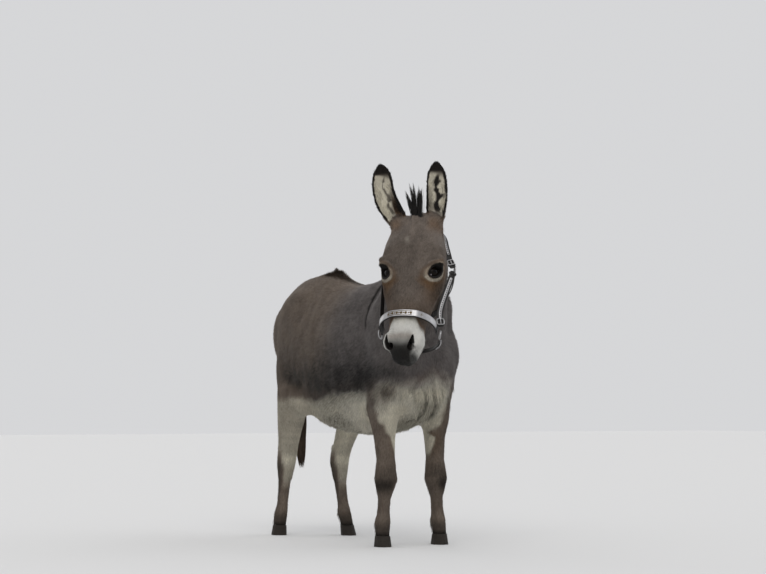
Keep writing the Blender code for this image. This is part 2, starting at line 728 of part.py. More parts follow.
def tail_point(share):
    """A point of the tail's line, smoothed through its named points."""
    count = len(TAIL_LINE) - 1
    place = min(share * count, count - 1e-6)
    index = int(place)
    u = place - index
    p0 = TAIL_LINE[max(0, index - 1)]
    p1, p2 = TAIL_LINE[index], TAIL_LINE[index + 1]
    p3 = TAIL_LINE[min(count, index + 2)]
    return 0.5 * (2 * p1 + (p2 - p0) * u + (2 * p0 - 5 * p1 + 4 * p2 - p3) * u**2 + (3 * p1 - p0 - 3 * p2 + p3) * u**3)


# ---------------------------------------------------------------- halter


def ribbon(name, path, outward, width, thickness, lift=0.0, first=0, last=None):
    """A flat strap along a path. Outward gives each point's face direction, and lift raises its inner face.

    First and last leave out the path's ends, for a plate that is shorter than the strap it lies on.
    """
    strap_rings = []
    for index, point in enumerate(path):
        before, after = path[max(0, index - 1)], path[min(len(path) - 1, index + 1)]
        along = (after - before).normalized()
        out = (outward[index] - along * along.dot(outward[index])).normalized()
        across = along.cross(out).normalized()
        half, low, high = width / 2, lift, lift + thickness
        edge = thickness * 0.3
        strap_rings.append([
            point + across * -half + out * low, point + across * half + out * low,
            point + across * half + out * (high - edge), point + across * (half - edge) + out * high,
            point + across * (edge - half) + out * high, point + across * -half + out * (high - edge),
        ])
    return loft(name, strap_rings[first:last])


def torus(name, centre, normal, radius, wire, around=12, section=5):
    """A round ring of wire."""
    normal = normal.normalized()
    across = normal.orthogonal().normalized()
    other = normal.cross(across)
    bm = bmesh.new()
    rows = []
    for index in range(around):
        angle = 2 * math.pi * index / around
        out = across * math.cos(angle) + other * math.sin(angle)
        middle = centre + out * radius
        rows.append([
            bm.verts.new(middle + out * (wire * math.cos(turn)) + normal * (wire * math.sin(turn)))
            for turn in (2 * math.pi * k / section for k in range(section))
        ])
    for index, low in enumerate(rows):
        high = rows[(index + 1) % around]
        for corner in range(section):
            after = (corner + 1) % section
            bm.faces.new((low[corner], low[after], high[after], high[corner]))
    return from_bmesh(name, bm)


def surface_of(*things):
    bm = bmesh.new()
    for thing in things:
        bm.from_mesh(thing.data)
    tree = BVHTree.FromBMesh(bm)
    bm.free()
    return tree


def cleared(surface, path, clearance, width):
    """Lifts a strap's path off the skin over the strap's whole width, and gives the way it faces at each point."""
    facing = []
    for _ in range(10):
        facing = smoothed([surface.find_nearest(point)[1] for point in path], 6)
        fresh = []
        for index, point in enumerate(path):
            before, after = path[max(0, index - 1)], path[min(len(path) - 1, index + 1)]
            along = (after - before).normalized()
            facing[index] = (facing[index] - along * along.dot(facing[index])).normalized()
            across = along.cross(facing[index])
            push = 0.0
            for shift in (-0.5, -0.25, 0.0, 0.25, 0.5):
                edge = point + across * (shift * width)
                place, out = surface.find_nearest(edge)[:2]
                push = max(push, clearance - (edge - place).dot(out))
            fresh.append(point + facing[index] * push)
        path = fresh
    return path, facing


def smoothed(path, rounds, closed=False):
    for _ in range(rounds):
        count = len(path)
        fresh = []
        for index in range(count):
            if not closed and index in (0, count - 1):
                fresh.append(path[index])
            else:
                fresh.append(path[index] * 0.5 + (path[index - 1] + path[(index + 1) % count]) * 0.25)
        path = fresh
    return path


def resampled(points, count):
    """Points evenly spaced along the line through the given points."""
    lengths = [0.0]
    for a, b in zip(points, points[1:]):
        lengths.append(lengths[-1] + (b - a).length)
    fresh = []
    for step in range(count):
        target = lengths[-1] * step / (count - 1)
        index = max(i for i in range(len(points) - 1) if lengths[i] <= target + 1e-12)
        share = (target - lengths[index]) / (lengths[index + 1] - lengths[index])
        fresh.append(points[index].lerp(points[index + 1], min(1, share)))
    return fresh


LOWER_RING = {"left": (0.352, 0.088, -0.104), "right": (0.352, -0.087, -0.098)}
UPPER_RING = {"left": (0.128, 0.1145, -0.108), "right": (0.120, -0.106, -0.122)}
RING_RADIUS = 0.0125


def noseband(surface):
    """The strap over the nose: a loose loop that rests on the bridge and stands off both cheeks, with its plate."""
    count = 19
    path, outward = [], []
    for step in range(count):
        angle = math.radians(-16 + 212 * step / (count - 1))
        c, s = math.cos(angle), math.sin(angle)
        wide, high = (math.copysign(abs(part) ** 0.9, part) for part in (c, s))
        path.append(on_head(0.343 - 0.010 * s, wide * 0.084, high * 0.077 - 0.075))
        outward.append((HEAD_LEFT * (c * 0.077) + HEAD_UP * (s * 0.084)).normalized())
    path = cleared(surface, smoothed(path, 1), 0.0022, NOSEBAND_WIDTH)[0]
    band = ribbon("halter_noseband", path, outward, NOSEBAND_WIDTH, LEATHER)
    plate = ribbon("halter_nose_plate", path, outward, NOSEBAND_WIDTH * 0.86, PLATE, LEATHER + 3 * GAP, 2, -1)
    return [band, plate]


def chin_strap(surface):
    """The strap that hangs under the jaw between the lower rings."""
    waypoints = [
        (0.362, 0.087, -0.126), (0.370, 0.076, -0.148), (0.374, 0.050, -0.162), (0.374, 0.000, -0.168),
        (0.374, -0.050, -0.162), (0.370, -0.076, -0.146), (0.362, -0.086, -0.120),
    ]
    path = smoothed(resampled([on_head(*p) for p in waypoints], 18), 2)
    core = on_head(0.350, 0, -0.070)
    outward = [(place - core).normalized() for place in path]
    path = cleared(surface, path, 0.0022, STRAP_WIDTH * 0.8)[0]
    return ribbon("halter_chin_strap", path, outward, STRAP_WIDTH * 0.8, LEATHER)


def cheek_straps(surface):
    """The straps from ring to ring. The left one stands a little off the cheek and is turned to the front."""
    turned = (HEAD_LEFT * 0.45 + HEAD_UP * 0.90).normalized()
    made = []
    for name in SIDES:
        start, end = on_head(*LOWER_RING[name]), on_head(*UPPER_RING[name])
        run = (end - start).normalized()
        first, last = start + run * (RING_RADIUS + 0.005), end - run * (RING_RADIUS + 0.005)
        if name == "left":
            first += run * 0.010
            path = smoothed(resampled([first, on_head(0.285, 0.083, -0.094), last], 9), 1)
            facing = [turned] * len(path)
        else:
            path, facing = cleared(surface, resampled([first, last], 9), 0.0024, STRAP_WIDTH)
        made.append(ribbon("halter_cheek_" + name, path, facing, STRAP_WIDTH, LEATHER))
        plate = ribbon(f"halter_cheek_plate_{name}", path, facing, STRAP_WIDTH * 0.5, PLATE, LEATHER + 3 * GAP, 1, -1)
        made.append(plate)
    return made


def rings(surface):
    made = []
    for name in SIDES:
        for label, place in (("lower", LOWER_RING[name]), ("upper", UPPER_RING[name])):
            centre = on_head(*place)
            facing = surface.find_nearest(centre)[1]
            made.append(torus(f"halter_{label}_ring_{name}", centre + facing * 0.003, facing, RING_RADIUS, RING_WIRE))
    return made


def crown(surface):
    """The strap from ring to ring behind the ears. Below the left ear it stands off and is turned to the front."""
    waypoints = [
        (0.106, 0.107, -0.110), (0.056, 0.095, -0.102), (0.008, 0.078, -0.098), (-0.022, 0.056, -0.108),
        (-0.034, 0.024, -0.120), (-0.034, -0.024, -0.120), (-0.022, -0.056, -0.108), (0.006, -0.082, -0.098),
        (0.052, -0.099, -0.102), (0.102, -0.106, -0.113),
    ]
    path = smoothed(resampled([on_head(*p) for p in waypoints], 18), 2)
    path, facing = cleared(surface, path, 0.0040, STRAP_WIDTH)
    turned = (HEAD_LEFT * 0.50 + HEAD_UP * 0.80 + HEAD_AXIS * 0.30).normalized()
    for index in range(7):
        share = min(1.0, (7 - index) / 3)
        facing[index] = facing[index].lerp(turned, share).normalized()
    strap = ribbon("halter_crown", path, facing, STRAP_WIDTH, LEATHER)
    plate = ribbon("halter_crown_plate", path, facing, STRAP_WIDTH * 0.9, PLATE * 1.5, LEATHER + 5 * GAP, 2, 6)
    return [strap, plate]


def throat_strap(surface):
    """The strap from the upper rings round under the jaw."""
    waypoints = [
        (0.136, 0.110, -0.136), (0.160, 0.100, -0.172), (0.184, 0.068, -0.206), (0.192, 0.000, -0.222),
        (0.184, -0.068, -0.206), (0.160, -0.100, -0.172), (0.138, -0.108, -0.136),
    ]
    path = smoothed(resampled([on_head(*p) for p in waypoints], 15), 1)
    path, facing = cleared(surface, path, 0.0024, STRAP_WIDTH * 0.85)
    return ribbon("halter_throat_strap", path, facing, STRAP_WIDTH * 0.85, LEATHER)


# ---------------------------------------------------------------- finish


def principled(name, colour, roughness, metallic=0.0):
    material = bpy.data.materials.new(name)
    material.use_nodes = True
    shader = material.node_tree.nodes["Principled BSDF"]
    shader.inputs["Base Color"].default_value = (*colour, 1)
    shader.inputs["Roughness"].default_value = roughness
    shader.inputs["Metallic"].default_value = metallic
    material.diffuse_color = (*colour, 1)
    return material


def paint(things):
    finishes = {
        "coat": principled("coat", (0.20, 0.17, 0.155), 0.9),
        "hair": principled("dark_hair", (0.03, 0.025, 0.022), 0.8),
        "muzzle": principled("muzzle", (0.55, 0.52, 0.48), 0.85),
        "eye": principled("eye", (0.02, 0.014, 0.010), 0.08),
        "hoof": principled("hoof", (0.06, 0.05, 0.045), 0.5),
        "leather": principled("leather", (0.02, 0.018, 0.018), 0.45),
        "metal": principled("metal", (0.75, 0.75, 0.76), 0.25, 1.0),
    }
    kinds = (
        ("plate", "metal"), ("ring", "metal"), ("halter", "leather"), ("hoof", "hoof"), ("eye_", "eye"),
        ("muzzle", "muzzle"), ("mane", "hair"), ("forelock", "hair"), ("switch", "hair"),
        ("tuft", "hair"),
    )
    for thing in things:
        kind = next((k for word, k in kinds if word in thing.name), "coat")
        thing.data.materials.clear()
        thing.data.materials.append(finishes[kind])


def recentre(things):
    """Puts the origin on the floor, under the middle of the whole box."""
    corners = [v.co for thing in things for v in thing.data.vertices]
    low = Vector(min(c[i] for c in corners) for i in range(3))
    high = Vector(max(c[i] for c in corners) for i in range(3))
    shift = Matrix.Translation((-(low.x + high.x) / 2, -(low.y + high.y) / 2, -low.z))
    for thing in things:
        thing.data.transform(shift)
    moved = shift.translation
    print(f"the box middle was moved by {moved.x:.5f} {moved.y:.5f} {moved.z:.5f}")


def main():
    for old in list(bpy.data.objects):
        bpy.data.objects.remove(old)
    flesh = melted([trunk(), neck(), head(), tail_head()] + legs() + head_masses() + limb_masses())
    flatten_feet(flesh)
    skin = surface_of(flesh)
    leg_parts = part_legs(flesh)
    head_part, neck_part, muzzle, lip = part_head(flesh)
    flesh.name = "trunk"
    ears = [tidied(cut_back(ear(name), neck_part, head_part)) for name in SIDES]
    tuft = tidied(cut_back(forelock(), head_part, *ears))
    crest = tidied(cut_back(mane(), neck_part, flesh, head_part, *ears))
    tuft_behind = tidied(cut_back(croup_tuft(), flesh))
    harness = noseband(skin) + [chin_strap(skin)] + cheek_straps(skin) + rings(skin)
    harness += [tidied(cut_back(strap, neck_part, head_part, *ears, crest)) for strap in crown(skin)]
    harness.append(throat_strap(skin))
    eye_parts = eyes(head_part)
    nostrils(muzzle)
    dock = tail_piece("tail_dock", 0.06, 0.56, (0.022, 0.024, 0.023, 0.021, 0.019, 0.018, 0.016))
    dock = tidied(cut_back(dock, flesh))
    switch = tail_piece("tail_switch", 0.563, 1.0, (0.018, 0.023, 0.026, 0.026, 0.022, 0.016, 0.006))
    pieces = [flesh, neck_part, head_part, muzzle, lip, dock, switch, crest, tuft, tuft_behind]
    pieces += [*ears, *eye_parts, *leg_parts, *harness]
    paint(pieces)
    recentre(pieces)
    donkey = bpy.data.collections.new("donkey")
    bpy.context.scene.collection.children.link(donkey)
    for piece in pieces:
        bpy.context.scene.collection.objects.unlink(piece)
        donkey.objects.link(piece)


main()
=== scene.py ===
import bpy
import math
import numpy as np
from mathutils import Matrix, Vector
from mathutils.bvhtree import BVHTree


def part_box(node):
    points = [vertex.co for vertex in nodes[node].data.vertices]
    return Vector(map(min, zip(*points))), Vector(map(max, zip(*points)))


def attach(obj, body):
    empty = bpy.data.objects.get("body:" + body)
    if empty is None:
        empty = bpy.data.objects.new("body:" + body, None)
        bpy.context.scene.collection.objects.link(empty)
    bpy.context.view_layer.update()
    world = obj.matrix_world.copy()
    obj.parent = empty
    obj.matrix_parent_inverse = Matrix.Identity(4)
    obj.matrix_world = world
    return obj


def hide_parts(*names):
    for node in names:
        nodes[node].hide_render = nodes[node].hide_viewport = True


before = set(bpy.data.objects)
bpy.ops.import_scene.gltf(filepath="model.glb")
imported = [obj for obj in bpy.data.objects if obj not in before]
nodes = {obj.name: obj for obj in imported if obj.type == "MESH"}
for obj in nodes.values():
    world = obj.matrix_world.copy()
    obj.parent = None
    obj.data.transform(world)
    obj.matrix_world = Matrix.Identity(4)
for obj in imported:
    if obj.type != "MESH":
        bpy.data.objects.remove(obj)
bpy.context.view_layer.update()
chance = np.random.default_rng(34)
print("frame loaded:", len(nodes), "nodes")

# the way the head is carried, and the sizes that the solids were made to
carriage = {
    "yaw": 47, "faceDrop": 65, "eyeAlong": 0.174, "eyeUp": -0.042, "eyeRadius": 0.0225, "earLength": 0.195,
}


def unit(v):
    v = np.asarray(v, float)
    return v / np.maximum(np.linalg.norm(v, axis=-1, keepdims=True), 1e-12)


def middleOf(node):
    low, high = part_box(node)
    return np.array((low + high) / 2)


upright = np.array([0.0, 0.0, 1.0])
yaw = math.radians(carriage["yaw"])
drop = math.radians(carriage["faceDrop"])
facing = np.array([-math.sin(yaw), -math.cos(yaw), 0.0])
headAxis = facing * math.cos(drop) - upright * math.sin(drop)
headUp = facing * math.sin(drop) + upright * math.cos(drop)
headLeft = np.array([math.cos(yaw), -math.sin(yaw), 0.0])
poll = (middleOf("eye_left") + middleOf("eye_right")) / 2
poll = poll - headAxis * carriage["eyeAlong"] - headUp * carriage["eyeUp"]
sides = {"left": 1, "right": -1}
# how far the frame stands from the place where the poll has its own numbers
moved = poll - np.array([-0.1512, -0.5225, 1.015])


def bodyPlace(co):
    return co[:, 0] - moved[0], moved[1] - co[:, 1], co[:, 2] - moved[2] - 0.0035


def onHead(along, side, up):
    return poll + headAxis * along + headLeft * side + headUp * up


def inHead(points):
    d = points - poll
    return d @ headAxis, d @ headLeft, d @ headUp


def ramp(x, low, high):
    t = np.clip((x - low) / (high - low), 0, 1)
    return t * t * (3 - 2 * t)


def hump(x, middle, width):
    return np.exp(-(((x - middle) / width) ** 2))


def ripple(points, size, seed):
    # a smooth wandering value from about -1 to 1, with bumps of about the given size
    waves = np.random.default_rng(seed)
    total = np.zeros(len(points))
    for _ in range(7):
        way = unit(waves.normal(size=3)) * (2 * math.pi / (size * waves.uniform(1.3, 3.0)))
        total += np.sin(points @ way + waves.uniform(0, 6.28))
    return total / 3.2


# ---- mesh helpers


def deselect():
    if bpy.context.object and bpy.context.object.mode != "OBJECT":
        bpy.ops.object.mode_set(mode="OBJECT")
    bpy.ops.object.select_all(action="DESELECT")


def makeActive(obj):
    deselect()
    obj.select_set(True)
    bpy.context.view_layer.objects.active = obj


def applied(obj, kind, **settings):
    makeActive(obj)
    mod = obj.modifiers.new(kind.title(), kind)
    for key, value in settings.items():
        setattr(mod, key, value)
    bpy.ops.object.modifier_apply(modifier=mod.name)
    return obj


def copyOf(names, name):
    # the CAD solids' meshes, copied, merged and joined
    copies = []
    for node in names:
        twin = bpy.data.objects.new(node + "_copy", nodes[node].data.copy())
        bpy.context.scene.collection.objects.link(twin)
        copies.append(twin)
    deselect()
    for twin in copies:
        twin.select_set(True)
    bpy.context.view_layer.objects.active = copies[0]
    if len(copies) > 1:
        bpy.ops.object.join()
    joined = bpy.context.view_layer.objects.active
    edited(joined, (bpy.ops.mesh.remove_doubles, {"threshold": 0.00001}))
    joined.name = joined.data.name = name
    joined.data.materials.clear()
    for group in list(joined.data.attributes):
        if group.name.startswith("UVMap"):
            joined.data.attributes.remove(group)
    return joined


def placesOf(mesh):
    co = np.zeros(len(mesh.vertices) * 3)
    mesh.vertices.foreach_get("co", co)
    return co.reshape(-1, 3)


def setPlaces(mesh, co):
    mesh.vertices.foreach_set("co", np.ascontiguousarray(co).ravel())
    mesh.update()


def edgesOf(mesh):
    ends = np.zeros(len(mesh.edges) * 2, int)
    mesh.edges.foreach_get("vertices", ends)
    return ends.reshape(-1, 2)


def trianglesOf(mesh):
    mesh.calc_loop_triangles()
    corners = np.zeros(len(mesh.loop_triangles) * 3, int)
    mesh.loop_triangles.foreach_get("vertices", corners)
    return corners.reshape(-1, 3)


def normalsOf(co, tris):
    a, b, c = co[tris[:, 0]], co[tris[:, 1]], co[tris[:, 2]]
    flat = np.cross(b - a, c - a)
    total = np.zeros_like(co)
    for corner in range(3):
        for axis in range(3):
            total[:, axis] += np.bincount(tris[:, corner], flat[:, axis], len(co))
    return unit(total)


def relaxed(values, ends, rounds, strength=0.5):
    # each point's value moves towards the mean of its neighbours'
    count = len(values)
    values = values.reshape(count, -1).copy()
    degree = np.bincount(ends.ravel(), minlength=count)[:, None]
    strength = np.broadcast_to(np.asarray(strength, float).reshape(-1, 1), (count, 1))
    for _ in range(rounds):
        total = np.stack([
            np.bincount(ends[:, 0], column[ends[:, 1]], count)
            + np.bincount(ends[:, 1], column[ends[:, 0]], count)
            for column in values.T
        ], 1)
        values += strength * (total / np.maximum(degree, 1) - values)
    return values


def treeOf(names):
    points, faces, owner = [], [], []
    for node in names:
        mesh = nodes[node].data
        tris = trianglesOf(mesh)
        faces += (tris + len(points)).tolist()
        points += placesOf(mesh).tolist()
        owner += [node] * len(tris)
    return BVHTree.FromPolygons(points, faces), owner


def setMark(mesh, name, values):
    layer = mesh.attributes.get(name) or mesh.attributes.new(name, "FLOAT", "POINT")
    layer.data.foreach_set("value", np.ascontiguousarray(values, dtype=np.float32))


def markOf(mesh, name):
    values = np.empty(len(mesh.vertices), dtype=np.float32)
    mesh.attributes[name].data.foreach_get("value", values)
    return values


def meshFrom(name, co, tris, uv=None, marks=None, normals=None):
    mesh = bpy.data.meshes.new(name)
    mesh.vertices.add(len(co))
    mesh.vertices.foreach_set("co", np.ascontiguousarray(co, dtype=np.float32).ravel())
    mesh.loops.add(len(tris) * 3)
    mesh.loops.foreach_set("vertex_index", np.ascontiguousarray(tris, dtype=np.int32).ravel())
    mesh.polygons.add(len(tris))
    mesh.polygons.foreach_set("loop_start", np.arange(0, len(tris) * 3, 3, dtype=np.int32))
    mesh.update(calc_edges=True)
    mesh.shade_smooth()
    if uv is not None:
        layer = mesh.uv_layers.new(name="OFBake")
        layer.data.foreach_set("uv", np.ascontiguousarray(uv[tris.ravel()], dtype=np.float32).ravel())
    for mark, values in (marks or {}).items():
        setMark(mesh, mark, values)
    if normals is not None:
        mesh.normals_split_custom_set_from_vertices(normals.astype(np.float32))
    obj = bpy.data.objects.new(name, mesh)
    bpy.context.scene.collection.objects.link(obj)
    return obj


def ridden(obj, slotName, *replaced, material=None):
    if material:
        obj.data.materials.append(material)
    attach(obj, "root")
    if replaced:
        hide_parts(*replaced)
    return obj


def edited(obj, *steps):
    # runs steps of Edit Mode on the whole mesh, one after another
    makeActive(obj)
    bpy.ops.object.mode_set(mode="EDIT")
    bpy.ops.mesh.select_all(action="SELECT")
    for step, settings in steps:
        step(**settings)
    bpy.ops.object.mode_set(mode="OBJECT")


def roundBall(name, segments, rings, radius):
    deselect()
    bpy.ops.mesh.primitive_uv_sphere_add(segments=segments, ring_count=rings, radius=radius)
    ball = bpy.context.active_object
    ball.name = ball.data.name = name
    return ball


def circle(count):
    return np.linspace(0, 2 * math.pi, count + 1)[:-1]


def lengthsAlong(path):
    return np.append(0, np.cumsum(np.linalg.norm(np.diff(path, axis=0), axis=1)))


def outwardTurned(co, tris, middle):
    # the triangles, turned over if they face the middle
    a, b, c = (co[tris[:, k]] - middle for k in range(3))
    return tris[:, ::-1] if np.einsum("ij,ij->i", a, np.cross(b, c)).sum() < 0 else tris


# ---- eyes: where they sit and which way they look

eyeShape = {
    "halfLength": 0.0232, "upperLid": 0.0158, "lowerLid": 0.0135, "shift": (0.001, -0.0015),
    "lidThickness": 0.0014, "curve": 1.3,
}


def eyeAxes(side):
    sign = sides[side]
    look = unit(headLeft * (sign * 0.76) + headAxis * 0.06 + headUp * 0.62)
    slope = headLeft * (sign * 0.50) - headAxis * 0.62 - headUp * 0.42
    slope = unit(slope - look * (slope @ look))
    rise = np.cross(look, slope) * sign
    return middleOf("eye_" + side), look, slope, rise


def inEye(points, side):
    # across from inner to outer corner, up across the lids, out along the look, and the lids' own measure,
    # which is 1 along their edge
    centre, look, slope, rise = eyeAxes(side)
    d = points - centre
    x = d @ slope - eyeShape["shift"][0]
    y = d @ rise - eyeShape["shift"][1]
    z = d @ look
    lid = np.where(y > 0, eyeShape["upperLid"], eyeShape["lowerLid"])
    return x, y, z, (x / eyeShape["halfLength"]) ** 2 + (np.abs(y) / lid) ** eyeShape["curve"]


# ---- ears: the cup's own measures

earStations = {
    "share": (-0.12, 0.03, 0.14, 0.26, 0.40, 0.54, 0.68, 0.80, 0.90, 0.96, 1.00),
    "halfWidth": (0.0220, 0.0240, 0.0262, 0.0288, 0.0314, 0.0326, 0.0312, 0.0262, 0.0170, 0.0102, 0.0035),
    "halfDepth": (0.0210, 0.0205, 0.0195, 0.0185, 0.0175, 0.0165, 0.0150, 0.0125, 0.0095, 0.0065, 0.0030),
    "halfTurn": (160, 148, 130, 115, 104, 96, 90, 84, 78, 72, 66),
    "bow": (0.000, 0.000, -0.003, -0.006, -0.008, -0.008, -0.006, -0.003, 0.001, 0.004, 0.006),
    "swing": {"left": 0.006, "right": 0.021},
    "wall": 0.0055,
}


def inEar(points, normals, side):
    # share of the ear's length, place across it, turn round its wall as a share of the way to the rim,
    # and whether a point is on the inner face
    sign = sides[side]
    s = earStations
    root = onHead(0.0, sign * 0.058, -0.045)
    axis = unit(upright + facing * 0.36 + headLeft * (sign * 0.155 - 0.065))
    opening = facing * 0.95 + headLeft * (sign * 0.24 + 0.10)
    opening = unit(opening - axis * (axis @ opening))
    across = unit(np.cross(axis, opening))
    d = points - root
    share = (d @ axis) / carriage["earLength"]
    swing = s["swing"][side] * np.sin(np.pi * np.clip(share, 0, 1) ** 0.8)
    d = d - opening * np.interp(share, s["share"], s["bow"])[:, None] - headLeft * (sign * swing)[:, None]
    halfWidth = np.interp(share, s["share"], s["halfWidth"])
    halfDepth = np.interp(share, s["share"], s["halfDepth"])
    x, y = d @ across, -(d @ opening)
    turn = np.degrees(np.abs(np.arctan2(x / halfWidth, y / halfDepth)))
    turn = turn / np.interp(share, s["share"], s["halfTurn"])
    outwards = unit(across[None] * (x / halfWidth**2)[:, None] - opening[None] * (y / halfDepth**2)[:, None])
    inner = ramp(-(outwards * normals).sum(1), -0.25, 0.25)
    return share, x / halfWidth, turn, inner, axis, opening, across


# ---- legs: centre lines read from the solids

legParts = {
    f"{end}_{side}": [f"{end}_{side}_{part}" for part in (top, "cannon", "pastern", "hoof")]
    for end, top in (("front", "forearm"), ("hind", "thigh")) for side in sides
}


def legLine(leg):
    co = []
    for part in legParts[leg]:
        ends = placesOf(nodes[part].data)[edgesOf(nodes[part].data)]
        co += [ends[:, 0] * (1 - t) + ends[:, 1] * t for t in np.linspace(0, 1, 12)]
    co = np.concatenate(co)
    heights = np.arange(0.01, 0.46, 0.015)
    line = []
    for height in heights:
        near = co[np.abs(co[:, 2] - height) < 0.006]
        line.append((near.min(0) + near.max(0)) / 2)
    line = np.array(line)
    return heights, line[:, 0], line[:, 1]


legLines = {leg: legLine(leg) for leg in legParts}


def aroundLeg(points, leg):
    # the direction from the leg's centre line: towards the other side's leg, and forwards
    heights, xs, ys = legLines[leg]
    dx = points[:, 0] - np.interp(points[:, 2], heights, xs)
    dy = points[:, 1] - np.interp(points[:, 2], heights, ys)
    far = np.maximum(np.hypot(dx, dy), 1e-6)
    inward = dx / far * (-1 if leg.endswith("left") else 1)
    return inward, -dy / far


def ofLeg(leg, weights, side):
    # how far each point belongs to that leg
    return weights[:, 5 if leg.startswith("front") else 6] * ((side > 0) == leg.endswith("left"))


# ---- the skin: one mesh over all the flesh

skinLook = {
    "voxel": 0.0025, "bodyShare": 0.26, "againShare": 0.43, "headShare": 0.33, "stripeBand": 0.024,
    "trunkRounds": 60, "legRounds": 10, "headRounds": 5,
}
fleshNodes = [
    "trunk", "neck", "head", "muzzle", "lower_lip", "ear_left", "ear_right", "tail_dock",
    *[part for parts in legParts.values() for part in parts[:3]],
]
regionNames = ("trunk", "neck", "head", "muzzle", "ear", "frontLeg", "hindLeg", "tail")


def regionOf(node):
    for start, region in (("lower_lip", 3), ("ear", 4), ("front", 5), ("hind", 6), ("tail", 7), ("eye", 2)):
        if node.startswith(start):
            return region
    return regionNames.index(node)


def regionsAt(points):
    tree, owner = treeOf(fleshNodes)
    index = [regionOf(owner[tree.find_nearest(p)[2]]) for p in points.tolist()]
    return np.eye(len(regionNames))[index]


def coatDepth(weights, co):
    # how far the tips of the coat stand out from the skin
    depth = weights @ np.array([0.0046, 0.0044, 0.0022, 0.0010, 0.0010, 0.0026, 0.0032, 0.0026])
    low = ramp(co[:, 2], 0.14, 0.03)
    return depth * (1 - 0.45 * low)


def withLids(co, ends):
    for side in sides:
        centre, look, slope, rise = eyeAxes(side)
        radius = carriage["eyeRadius"]
        outer = radius + eyeShape["lidThickness"]
        x, y, z, rho = inEye(co, side)
        d = co - centre
        far = np.linalg.norm(d, axis=1)
        near = (z > 0.002) & (far < 0.06)
        # points beside the lids' edge are drawn onto it
        crossing = ends[near[ends[:, 0]] & near[ends[:, 1]]]
        crossing = crossing[(rho[crossing[:, 0]] < 1) != (rho[crossing[:, 1]] < 1)]
        first = np.abs(rho[crossing[:, 0]] - 1) < np.abs(rho[crossing[:, 1]] - 1)
        edge = np.unique(np.where(first, crossing[:, 0], crossing[:, 1]))
        scale = np.ones(len(edge))
        lid = np.where(y[edge] > 0, eyeShape["upperLid"], eyeShape["lowerLid"])
        a = (x[edge] / eyeShape["halfLength"]) ** 2
        curve = eyeShape["curve"]
        b = (np.abs(y[edge]) / lid) ** curve
        for _ in range(6):
            slant = 2 * a * scale + curve * b * scale ** (curve - 1)
            scale -= (a * scale**2 + b * scale**curve - 1) / slant
        onEdge = np.zeros(len(co), bool)
        onEdge[edge] = True
        shiftX, shiftY = eyeShape["shift"]
        flat = slope * (x[edge] * scale + shiftX)[:, None] + rise * (y[edge] * scale + shiftY)[:, None]
        lift = np.sqrt(np.maximum(outer**2 - (flat**2).sum(1), 0.00001))
        co[edge] = centre + flat + look * lift[:, None]
        # the lids lie over the ball, and inside their edge the skin turns in behind it
        lidded = near & ~onEdge & (rho >= 1) & (rho < 4)
        want = outer + 0.0006 * hump(rho, 1.5, 0.3) - 0.0014 * hump(rho, 2.6, 0.35) * (y > -0.004)
        want = want - 0.0008 * hump(rho, 2.5, 0.3) * (y <= -0.004)
        push = np.where(lidded, np.maximum(want - far, 0) * ramp(rho, 4.0, 2.2), 0)
        co += d / np.maximum(far, 1e-6)[:, None] * push[:, None]
        crease = near & (rho > 1.6) & (far >= outer)
        dent = 0.0016 * hump(rho, 3.1, 0.5) * ramp(y, -0.002, 0.006)
        brow = 0.0010 * hump(rho, 4.6, 0.9) * ramp(y, 0.0, 0.01)
        dent += 0.0009 * hump(rho, 2.8, 0.4) * ramp(y, 0.0, -0.008) - brow
        co -= look * np.where(crease, dent, 0)[:, None]
        inside = near & ~onEdge & (rho < 1)
        co[inside] = centre + unit(d[inside]) * (radius - 0.004)
    return co


# where the markings lie, in metres on the body; the turns say where the pale strips down the forelegs start
markLook = {
    "bellyEdge": 0.462, "chestEdge": 0.525,
    "crossHeights": (0.675, 0.695, 0.728, 0.760, 0.787, 0.830, 0.875),
    "crossForward": (0.227, 0.224, 0.212, 0.207, 0.205, 0.205, 0.200),
    "turn_right": ((0.28, 0.307, 0.345, 0.392, 0.435, 0.457), (0.80, 0.28, -0.12, -0.42, -0.68, -0.80)),
    "turn_left": ((0.26, 0.30, 0.328, 0.382, 0.42, 0.46), (1.0, 0.82, 0.60, 0.08, 0.0, -0.3)),
    "star": (0.088, -0.011),
}


def fromCross(co):
    # how far forward of the shoulder stripe's middle each point is
    _, forward, height = bodyPlace(co)
    off = forward - np.interp(height, markLook["crossHeights"], markLook["crossForward"])
    return np.where(height > markLook["crossHeights"][0], off, 1.0)


